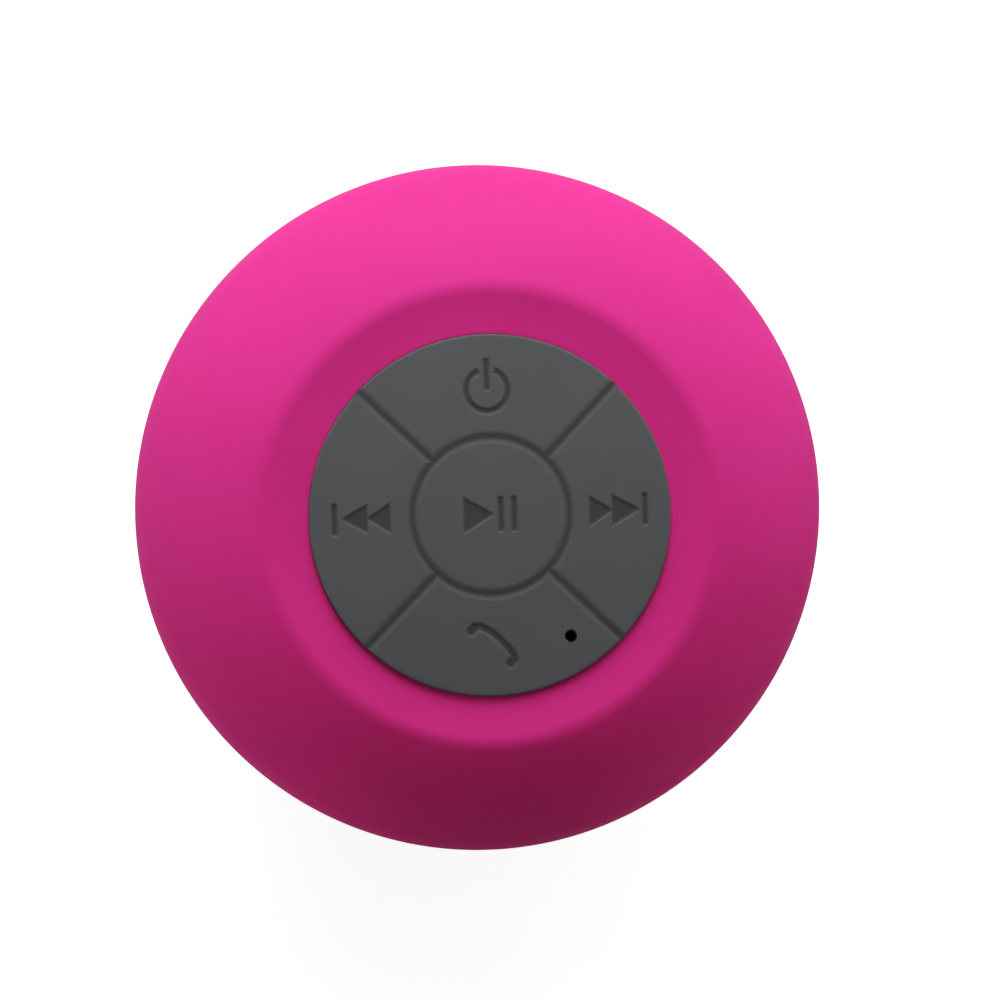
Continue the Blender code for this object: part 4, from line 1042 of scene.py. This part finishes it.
# ---- front shell, seal, baffle and gasket -----------------------------------------------------------------------------
out_t, in_t = SLEEVE_T + 0.3, SLEEVE_T + 0.3 + 1.8
line = [(0.0, 49.8), (23.9, 49.8), (24.0, 49.9), (24.0, dish_z(24.0, out_t) - 0.1), (24.1, dish_z(24.1, out_t))]
line += [dome_point(a, out_t) for a in np.arange(DISH, 90.1, 3.0)]
line += [(dome_point(114.5, out_t)[0] + 0.05, 33.45), (dome_point(114.5, out_t)[0] - 0.1, 33.3), (37.95, 33.3), (37.8, 33.15), (37.8, 31.75), (37.65, 31.6), (37.05, 31.6), (36.9, 31.75), (36.9, 34.6)]
line += [dome_point(a, in_t) for a in np.arange(78.0, 33.0, -4.0)]
line += [(29.0, 48.0), (0.0, 48.0)]
shell = lathe("front_shell_moulding", line, 192)
BOARD_SCREWS = [(17.3, 10.0), (-17.3, 10.0), (-5.0, -19.4)]
for at in SCREWS:
    boolean(shell, "UNION", lathe("post", [(0, 26.0), (2.85, 26.0), (3.0, 26.15), (3.0, 46.6), (3.3, 47.6), (3.3, 48.9), (0, 48.9)], 40, at=at))
for at in BOARD_SCREWS:
    boolean(shell, "UNION", lathe("post", [(0, 45.05), (2.2, 45.05), (2.3, 45.15), (2.3, 47.6), (2.6, 48.1), (2.6, 48.4), (0, 48.4)], 32, at=at))
cut = [lathe("c", [(0, 25.0), (1.7, 25.0), (1.7, 26.1), (1.5, 26.4), (1.5, 38.0), (0, 38.6)], 32, at=at) for at in SCREWS]
cut += [lathe("c", [(0, 44.0), (1.15, 44.0), (1.15, 47.5), (0, 47.9)], 24, at=at) for at in BOARD_SCREWS]
cut += [lathe("c", [(0, 46.5), (2.3, 46.5), (2.3, 49.6), (2.6, 49.9), (2.6, 51.0), (0, 51.0)], 40, at=at) for at in NUB_AT.values()]
cut += [lathe("c", [(0, 46.5), (1.1, 46.5), (1.1, 51.0), (0, 51.0)], 24, at=MIC_AT), lathe("c", [(0, 46.5), (0.9, 46.5), (0.9, 51.0), (0, 51.0)], 24, at=(5.2, -17.8))]
boolean(shell, "DIFFERENCE", join("cuts", cut))
put(shell, "housing", white_abs, ("front_shell",))

seal = mould("housing_seal_ring", [(38.2, 33.25), (39.0, 33.25), (39.1, 33.15), (39.2, 33.25), (40.0, 33.25), (40.0, 32.65), (38.2, 32.65)], 0.12, 192, 50.0)
put(seal, "housing", black_rubber, ("housing_seal",))

baffle = lathe("speaker_baffle_plate", ring_line([(17.6, 25.6), (33.6, 25.6), (32.7, 24.0), (20.6, 24.0), (20.4, 23.4), (17.6, 23.4)], [0.15, 0.2, 0.2, 0.2, 0.2, 0.2]), 192)
for i in range(8):
    rib = upright("rib", rounded_rect(11.6, 0.9, 0.3, 3), [(22.6, -0.12), (22.7, -0.04), (22.85, 0.0), (24.4, 0.0)], turn=0)
    rib.data.transform(Matrix.Rotation(math.radians(22.5 + 45 * i), 4, "Z") @ Matrix.Translation(Vector((26.0, 0, 0)) * MM))
    boolean(baffle, "UNION", rib)
boolean(baffle, "DIFFERENCE", join("cuts", [lathe("c", [(0, 22.0), (1.6, 22.0), (1.6, 25.45), (1.75, 25.6), (1.75, 28.0), (0, 28.0)], 32, at=at) for at in SCREWS]))
put(baffle, "housing", black_abs, ("speaker_baffle",))
put(mould("speaker_gasket_ring", [(17.8, 26.4), (19.8, 26.4), (19.8, 25.65), (17.8, 25.65)], 0.2, 128, 50.0), "housing", black_rubber, ("speaker_gasket",))

# ---- speaker driver ---------------------------------------------------------------------------------------------------
basket = lathe("speaker_basket", ring_line(
    [(6.6, 35.0), (13.4, 35.0), (13.4, 33.9), (18.0, 28.3), (20.0, 28.1), (20.0, 26.9), (17.1, 26.9), (16.9, 28.0), (12.5, 33.3), (12.5, 34.2), (6.6, 34.2)],
    [0.15, 0.35, 0.3, 0.6, 0.3, 0.2, 0.2, 0.4, 0.3, 0.2, 0.15]), 160)
cut = []
for i in range(6):
    c = prism("window", rounded_rect(5.4, 2.9, 0.8), [(-3.0, 0.0), (3.0, 0.0)], to_wall)
    c.data.transform(Matrix.Rotation(math.tau * i / 6, 4, "Z") @ Matrix.Translation(Vector((15.2, 0, 31.1)) * MM))
    cut.append(c)
boolean(basket, "DIFFERENCE", join("cuts", cut))
boolean(basket, "DIFFERENCE", join("cuts", [lathe("c", [(0, 33.6), (0.55, 33.6), (0.55, 35.6), (0, 35.6)], 16, at=(9.9 * math.cos(a), 9.9 * math.sin(a))) for a in (0.5, 2.6, 4.7)]))
put(basket, "housing", zinc, ("speaker_frame",))

half = np.linspace(0.12, math.pi - 0.12, 22)
line = [(17.2, 26.85), (19.5, 26.85), (19.6, 26.75), (19.6, 26.55), (19.5, 26.45), (17.35, 26.45)]
line += [(16.05 + 1.15 * math.cos(a), 26.6 - 1.15 * math.sin(a)) for a in half]
line += [(14.75, 26.45), (14.25, 26.45), (14.2, 26.5), (14.2, 26.8), (14.25, 26.85), (15.1, 26.85)]
line += [(16.05 + 0.8 * math.cos(a), 26.75 - 1.0 * math.sin(a)) for a in half[::-1]]
surround = lathe("speaker_surround_roll", line, 160, 60.0)
spider = lathe("speaker_spider_cloth", [(r, 33.66 - 0.19 * math.cos(math.pi * (r - 5.9))) for r in np.linspace(5.9, 11.9, 49)]
               + [(r, 33.86 - 0.19 * math.cos(math.pi * (r - 5.9))) for r in np.linspace(11.9, 5.9, 49)], 128, 60.0)


def bend_with_cone(piece, mat, node, r_moving, r_fixed):
    """The moving edge rides with the cone, the outer edge with the housing, and the share falls smoothly between."""
    piece.data.materials.clear()
    piece.data.materials.append(mat)
    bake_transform(piece, "housing", "cone", start=(0.0, 0.0, 0.02), end=(0.0, 0.0, 0.03))
    xyz = np.array([v.co for v in piece.data.vertices], float) / MM
    t = np.clip((r_fixed - np.hypot(xyz[:, 0], xyz[:, 1])) / (r_fixed - r_moving), 0, 1)
    piece.data.attributes["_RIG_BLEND"].data.foreach_set("value", (t * t * (3 - 2 * t)).astype(np.float32))
    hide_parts(node)


# ---- board, chips and switches ----------------------------------------------------------------------------------------
board = lathe("main_board_disc", [(0, 45.0), (22.32, 45.0), (22.4, 44.92), (22.4, 44.08), (22.32, 44.0), (0, 44.0)], 192)
cut = [lathe("c", [(0, 43.0), (1.15, 43.0), (1.15, 46.0), (0, 46.0)], 32, at=at) for at in BOARD_SCREWS]
for k, (x, y) in enumerate([(0, 6.2), (3.1, 6.9), (-3.2, 6.8), (11.2, -3.6), (12.6, 4.4), (-12.4, -4.8), (-11.6, 4.6), (4.8, -8.2), (-3.4, -11.2), (6.2, 19.4), (-6.4, 19.2), (19.4, -5.6), (-19.6, -2.2), (14.4, -14.2), (-14.8, -12.8), (2.2, -20.6)]):
    cut.append(lathe("c", [(0, 43.0), (0.3, 43.0), (0.3, 46.0), (0, 46.0)], 12, at=(x, y)))
boolean(board, "DIFFERENCE", join("cuts", cut))
put(board, "housing", board_mask, ("main_board",))


def chip(name, node, w, h, at, turn, pins, pitch):
    body = upright_block(name + "_body", w, h - 1.1, 45.15, 46.55, 0.12, 0.14, at, turn)
    dot = lathe("dot", [(0, 46.45), (0.28, 46.45), (0.28, 47.0), (0, 47.0)], 20)
    dot.data.transform(Matrix.Translation(Vector((at[0], at[1], 0)) * MM) @ Matrix.Rotation(math.radians(turn), 4, "Z") @ Matrix.Translation(Vector((-w / 2 + 0.75, -(h - 1.1) / 2 + 0.65, 0)) * MM))
    boolean(body, "DIFFERENCE", dot)
    put(body, "housing", chip_epoxy, (node,))
    legs = []
    for side in (-1, 1):
        for k in range(pins):
            x = (k - (pins - 1) / 2) * pitch
            y0 = (h - 1.1) / 2 - 0.1
            bend = [(y0, 45.85), (y0 + 0.28, 45.85), (y0 + 0.38, 45.76), (y0 + 0.42, 45.2), (y0 + 0.5, 45.08), (h / 2 - 0.02, 45.06)]
            thick = 0.13
            pts_top = [(y, z + (thick if i != 3 else thick * 0.6)) for i, (y, z) in enumerate(bend)]
            outline = bend + pts_top[::-1]
            verts = [(x - 0.2, side * y, z) for y, z in outline] + [(x + 0.2, side * y, z) for y, z in outline]
            n = len(outline)
            faces = [tuple(range(n)), tuple(range(2 * n - 1, n - 1, -1))] + [(i, n + i, n + (i + 1) % n, (i + 1) % n) for i in range(n)]
            legs.append(obj_from("leg", verts, faces))
    leg = join(name + "_legs", legs)
    leg.data.transform(Matrix.Translation(Vector((at[0], at[1], 0)) * MM) @ Matrix.Rotation(math.radians(turn), 4, "Z"))
    put(leg, "housing", steel)


chip("audio_chip", "audio_chip", 9.6, 4.0, (-8.0, 8.0), 45.0, 7, 1.27)
chip("amplifier_chip", "amplifier_chip", 5.0, 4.0, (8.0, 8.0), -45.0, 4, 1.1)
can = lathe("filter_capacitor_can", [(0, 47.42), (1.7, 47.45), (1.98, 47.38), (2.1, 47.15), (2.1, 46.35), (2.02, 46.2), (1.93, 46.1), (2.02, 46.0), (2.1, 45.85), (2.1, 45.35), (2.0, 45.2), (1.9, 45.07), (0, 45.05)], 64, at=(-8.6, -8.6))
put(can, "housing", steel, ("filter_capacitor",))
lens = upright("status_led_lens", rounded_rect(1.6, 0.9, 0.16, 4), [(45.05, 0.0), (45.4, 0.0), (45.42, -0.08), (45.6, -0.09), (45.7, -0.14), (45.75, -0.24)], (5.2, -17.8))
put(lens, "housing", led, ("status_led",))
mic = lathe("microphone_capsule", [(0, 46.42), (1.25, 46.42), (1.3, 46.47), (1.4, 46.55), (1.85, 46.55), (1.97, 46.48), (2.0, 46.35), (2.0, 45.3), (1.92, 45.1), (1.85, 45.05), (0, 45.05)], 64, at=MIC_AT)
put(mic, "housing", mic_can, ("microphone",))
boot = mould("microphone_boot_ring", [(0.75, 47.7), (2.8, 47.7), (2.8, 45.05), (2.3, 45.05), (2.3, 46.85), (0.75, 46.85)], 0.14, 48, 50.0, MIC_AT)
put(boot, "housing", black_rubber, ("microphone_boot",))

for key, at in NUB_AT.items():
    base = upright_block("base", 4.2, 4.2, 45.05, 45.9, 0.35, 0.08, at)
    boolean(base, "DIFFERENCE", lathe("c", [(0, 45.6), (1.3, 45.6), (1.3, 47.0), (0, 47.0)], 32, at=at))
    base.name = f"switch_body_{key}"
    put(base, "housing", black_abs)
    lid = upright("lid", rounded_rect(4.1, 4.1, 0.45, 5), [(45.92, 0.0), (46.36, 0.0), (46.46, -0.05), (46.5, -0.14)], at)
    boolean(lid, "DIFFERENCE", lathe("c", [(0, 45.4), (1.3, 45.4), (1.3, 46.4), (1.4, 46.52), (1.4, 47.0), (0, 47.0)], 32, at=at))
    rivets = [lathe("r", [(0, 46.58), (0.16, 46.56), (0.26, 46.48), (0.26, 46.2), (0, 46.2)], 16, at=(at[0] + x, at[1] + y)) for x in (-1.5, 1.5) for y in (-1.5, 1.5)]
    boolean(lid, "UNION", join("rivets", rivets))
    lid.name = f"switch_lid_{key}"
    put(lid, "housing", steel, ("switch_base_" + key,))
    stem_top = lathe(f"plunger_{key}_button", [(0, 46.95), (0.7, 46.94), (0.95, 46.86), (1.06, 46.72), (1.1, 46.5), (1.1, 46.16), (1.04, 46.1), (0, 46.1)], 40, at=at)
    put(stem_top, "plunger_" + key, black_abs, ("plunger_" + key,))

# ---- battery, charging board and leads --------------------------------------------------------------------------------
us = np.array(sorted(set(np.round(list(np.linspace(-1, 1, 41)) + [s * v for s in (-1, 1) for v in (0.995, 0.985, 0.97, 0.94, 0.92, 0.88)], 4))))
W2, H2 = 13.5, 8.95
verts, faces, front, rear = [], [], [], []
for v in us:
    fr, rr_ = [], []
    for u in us:
        x, z = u * W2, v * H2
        d = min(W2 - abs(x), H2 - abs(z))
        h = 0.12 + 2.18 * math.sqrt(max(0.0, 1 - (1 - min(max(d - 0.55, 0.0), 1.5) / 1.5) ** 2)) if d > 0.55 else 0.12
        h -= 0.05 * (1 - math.cos(u * 9.0)) * (1 - abs(v)) * 0.5 if h > 2.2 else 0.0
        fr.append(len(verts))
        verts.append((x, 25.5 - h, 35.1 + z))
        rr_.append(len(verts))
        verts.append((x, 25.5 + h, 35.1 + z))
    front.append(fr)
    rear.append(rr_)
m = len(us)
for i in range(m - 1):
    for j in range(m - 1):
        faces.append((front[i][j], front[i][j + 1], front[i + 1][j + 1], front[i + 1][j]))
        faces.append((rear[i][j], rear[i + 1][j], rear[i + 1][j + 1], rear[i][j + 1]))
edge_f = front[0] + [r[-1] for r in front[1:]] + front[-1][-2::-1] + [r[0] for r in front[-2:0:-1]]
edge_r = rear[0] + [r[-1] for r in rear[1:]] + rear[-1][-2::-1] + [r[0] for r in rear[-2:0:-1]]
for k in range(len(edge_f)):
    k2 = (k + 1) % len(edge_f)
    faces.append((edge_f[k], edge_f[k2], edge_r[k2], edge_r[k]))
put(obj_from("battery_pouch", verts, faces, 40.0), "housing", foil, ("battery",))

pcb = upright("charge_board_plate", rounded_rect(13.0, 9.6, 0.8, 5), [(26.35, -0.06), (26.41, 0.0), (27.09, 0.0), (27.15, -0.06)], (0.0, -28.4))
boolean(pcb, "DIFFERENCE", join("cuts", [lathe("c", [(0, 26), (r, 26), (r, 28), (0, 28)], 24, at=(x, y)) for x, y, r in ((5.4, -25.0, 0.6), (-5.4, -25.0, 0.6), (4.0, -27.2, 0.25), (-3.4, -27.4, 0.25), (1.2, -27.6, 0.25))]))
put(pcb, "housing", board_mask, ("charge_board",))

for name, pts in (("battery_wire_red", [(1.6, 25.6, 44.2), (1.6, 25.5, 45.2), (1.6, 23.2, 46.4), (1.6, 20.8, 45.9), (1.6, 20.6, 45.1)]),
                  ("battery_wire_black", [(-1.6, 25.6, 44.2), (-1.6, 25.5, 45.2), (-1.6, 23.2, 46.4), (-1.6, 20.8, 45.9), (-1.6, 20.6, 45.1)]),
                  ("speaker_wire_red", [(-16.9, -8.9, 28.6), (-17.1, -9.0, 30.4), (-17.3, -9.2, 36.0), (-16.4, -8.9, 41.6), (-16.2, -8.8, 43.8)]),
                  ("speaker_wire_black", [(-18.0, -6.4, 28.6), (-18.2, -6.5, 30.4), (-18.4, -6.6, 36.0), (-17.6, -6.2, 41.6), (-17.4, -6.0, 43.8)])):
    red = name.endswith("red")
    put(sweep(name + "_lead", pts, circle(0.48, 16), 10, 0.12), "housing", red_wire if red else black_wire, (name,))
flat = [(-1.8 + 0.02, -0.16)]
strip = []
for k in range(9):
    a = -1.6 + 0.4 * k
    strip += [(a - 0.2, -0.13), (a, -0.2)]
strip += [(1.8, -0.13), (1.8, 0.13)]
for k in range(8, -1, -1):
    a = -1.6 + 0.4 * k
    strip += [(a, 0.2), (a - 0.2, 0.13)]
path = [(4.4, y, z) for y, z in [(-25.6, 27.5), (-24.2, 28.6), (-23.3, 32.0), (-22.9, 37.0), (-21.6, 41.2), (-18.6, 43.4), (-16.6, 43.6)]]
put(sweep("charge_cable_ribbon", path, strip, 8), "housing", ribbon, ("charge_cable",))

put(mould("magnet_top_plate_disc", [(6.0, 36.5), (11.5, 36.5), (11.5, 35.05), (6.0, 35.05)], 0.16, 128), "housing", zinc, ("magnet_top_plate",))
put(mould("magnet_ferrite_ring", [(7.2, 40.6), (13.0, 40.6), (13.0, 36.55), (7.2, 36.55)], 0.34, 128), "housing", ferrite, ("magnet_ring",))
yoke = lathe("magnet_yoke_pole", fillet([(0.0, 41.75), (1.1, 41.75), (1.4, 42.1), (10.9, 42.1), (11.5, 41.5), (11.5, 40.65), (4.7, 40.65), (4.7, 34.8), (1.3, 34.8), (1.1, 35.2), (0.0, 35.2)],
                                        [0, 0.15, 0.15, 0.25, 0.25, 0.15, 0.3, 0.25, 0.1, 0.1, 0]), 128)
put(yoke, "housing", zinc, ("magnet_yoke",))

line = [(r, z) for r, z in catmull([(13.9, 26.9), (11.6, 28.0), (9.6, 29.2), (7.5, 30.6), (5.75, 32.0)], 6)]
upper = [(r - 0.0, z + 0.45) for r, z in catmull([(5.75, 32.0), (7.5, 30.62), (9.6, 29.25), (11.6, 28.12), (13.9, 27.0)], 6)]
paper = lathe("speaker_cone_paper", [(14.95, 27.3), (14.95, 26.95), (14.9, 26.9)] + line + upper + [(14.3, 27.32), (14.9, 27.32)], 160, 50.0)
put(paper, "cone", cone_film, ("speaker_cone",))
cap = lathe("dust_cap_dome", [(r, 30.35 + 1.0 * (r / 6.1) ** 2) for r in np.linspace(0, 5.6, 12)] + [(5.95, 31.33), (6.1, 31.28), (6.1, 31.05), (6.0, 30.98)]
            + [(r, 29.9 + 1.02 * (r / 6.1) ** 2) for r in np.linspace(5.8, 0, 12)], 96, 50.0)
put(cap, "cone", cone_film, ("dust_cap",))
line = [(5.1, 37.6), (5.26, 37.6), (5.3, 37.55)]
for k in range(17):
    z = 37.45 - 0.18 * k
    line += [(5.34, z), (5.5, z - 0.045), (5.54, z - 0.09), (5.5, z - 0.135)]
line += [(5.32, 34.38), (5.27, 34.3), (5.25, 31.8), (5.2, 31.75), (5.1, 31.75)]
put(lathe("voice_coil_winding", line, 96, 60.0), "cone", winding, ("voice_coil",))
bend_with_cone(surround, black_rubber.mat, "speaker_surround", 15.0, 17.4)
bend_with_cone(spider, spider_cloth.mat, "speaker_spider", 6.2, 11.4)


# ---- floor, light and camera ---------------------------------------------------------------------------------------
def plane(name, size, z, mat):
    mesh = bpy.data.meshes.new(name)
    s = size / 2
    mesh.from_pydata([(-s, -s, z), (s, -s, z), (s, s, z), (-s, s, z)], [], [(0, 1, 2, 3)])
    o = bpy.data.objects.new(name, mesh)
    scene.collection.objects.link(o)
    o.data.materials.append(mat)
    return o


floor_mat = bpy.data.materials.new("floor_pale")
floor_mat.use_nodes = True
tree = floor_mat.node_tree
bsdf = tree.nodes["Principled BSDF"]
bsdf.inputs["Base Color"].default_value = (0.82, 0.82, 0.82, 1)
bsdf.inputs["Roughness"].default_value = 0.9
bsdf.inputs["Specular IOR Level"].default_value = 0.1
bsdf.inputs["Emission Color"].default_value = (1, 1, 1, 1)
ray = tree.nodes.new("ShaderNodeLightPath")
glow = tree.nodes.new("ShaderNodeMapRange")
glow.inputs["To Min"].default_value = 0.15
glow.inputs["To Max"].default_value = 0.85
tree.links.new(ray.outputs["Is Camera Ray"], glow.inputs["Value"])
tree.links.new(glow.outputs["Result"], bsdf.inputs["Emission Strength"])
plane("studio_floor", 6.0, -0.00006, floor_mat)


def area(name, direction, elevation, distance, size, power, colour=(1, 1, 1)):
    """A soft square lamp that looks at the object, at that compass direction (0 is +Y, 90 is +X) and elevation."""
    lamp = bpy.data.lights.new(name, "AREA")
    lamp.shape = "SQUARE"
    lamp.size = size
    lamp.energy = power
    lamp.color = colour
    o = bpy.data.objects.new(name, lamp)
    scene.collection.objects.link(o)
    a, e = math.radians(direction), math.radians(elevation)
    d = Vector((math.sin(a) * math.cos(e), math.cos(a) * math.cos(e), math.sin(e)))
    o.location = Vector((0, 0, 0.045)) + d * distance
    o.rotation_mode = "QUATERNION"
    o.rotation_quaternion = d.to_track_quat("Z", "Y")
    o.visible_camera = False
    return o


area("key_light", 0, 20, 1.0, 0.6, 8.27)
area("upper_key_light", 0, 45, 1.0, 0.6, 3.19)
area("right_key_light", 40, 28, 1.0, 0.6, 1.22)
area("left_fill", -90, 6, 1.0, 0.6, 3.65)
area("right_fill", 90, 6, 1.0, 0.6, 2.23)
area("overhead_fill", 0, 88, 1.0, 0.6, 0.7)
area("front_fill", 180, 60, 1.0, 0.6, 0.28)

world = bpy.data.worlds.new("studio_world")
scene.world = world
world.use_nodes = True
wt = world.node_tree
for n in list(wt.nodes):
    wt.nodes.remove(n)
out = wt.nodes.new("ShaderNodeOutputWorld")
mixer = wt.nodes.new("ShaderNodeMixShader")
path = wt.nodes.new("ShaderNodeLightPath")
seen, soft = wt.nodes.new("ShaderNodeBackground"), wt.nodes.new("ShaderNodeBackground")
seen.inputs["Color"].default_value = (0.95, 0.95, 0.95, 1)
seen.inputs["Strength"].default_value = 1.0
soft.inputs["Color"].default_value = (1, 1, 1, 1)
soft.inputs["Strength"].default_value = 0.05
wt.links.new(path.outputs["Is Camera Ray"], mixer.inputs["Fac"])
wt.links.new(soft.outputs[0], mixer.inputs[1])
wt.links.new(seen.outputs[0], mixer.inputs[2])
wt.links.new(mixer.outputs[0], out.inputs["Surface"])

scene.view_settings.view_transform = "Standard"
scene.view_settings.look = "None"
# a film-like tone curve: a slight toe and a soft shoulder
scene.view_settings.use_curve_mapping = True
tone_curve = scene.view_settings.curve_mapping
tone_curve.use_clip = False
tone = tone_curve.curves[3]
for x, y in ((0.0389, 0.030), (0.099, 0.090), (0.193, 0.200), (0.2816, 0.300), (0.4428, 0.450), (0.6142, 0.600), (0.79, 0.750)):
    tone.points.new(x, y)
tone.points[-1].location = (1.0, 0.925)
tone_curve.extend = "EXTRAPOLATED"
tone_curve.update()

TURN, TIP, ROLL, DIST, FOCAL = math.radians(4.27), math.radians(2.807), math.radians(1.9), 0.418, 3.4069
back = Vector((-math.sin(TURN) * math.cos(TIP), math.sin(TIP), math.cos(TURN) * math.cos(TIP)))
right = Vector((0, 1, 0)).cross(back).normalized()
up = back.cross(right)
right, up = right * math.cos(ROLL) - up * math.sin(ROLL), right * math.sin(ROLL) + up * math.cos(ROLL)
axes = Matrix((right, up, back)).transposed()
centre = Vector((0, 0, 0.045))
towards = (axes @ Vector((-0.0145 / FOCAL, -0.01242 / FOCAL, -1.0))).normalized()
axes = towards.rotation_difference(-back).to_matrix() @ axes
camera = bpy.data.cameras.new("camera")
camera.sensor_width = 36.0
camera.lens = FOCAL * 36.0
camera.clip_start, camera.clip_end = 0.01, 50.0
cam = bpy.data.objects.new("camera", camera)
scene.collection.objects.link(cam)
cam.location = centre + back * DIST
cam.rotation_mode = "QUATERNION"
cam.rotation_quaternion = axes.to_quaternion()
scene.camera = cam

# ---- a last update of the view layer -----------------------------------------------------------------------------------
bpy.context.view_layer.update()
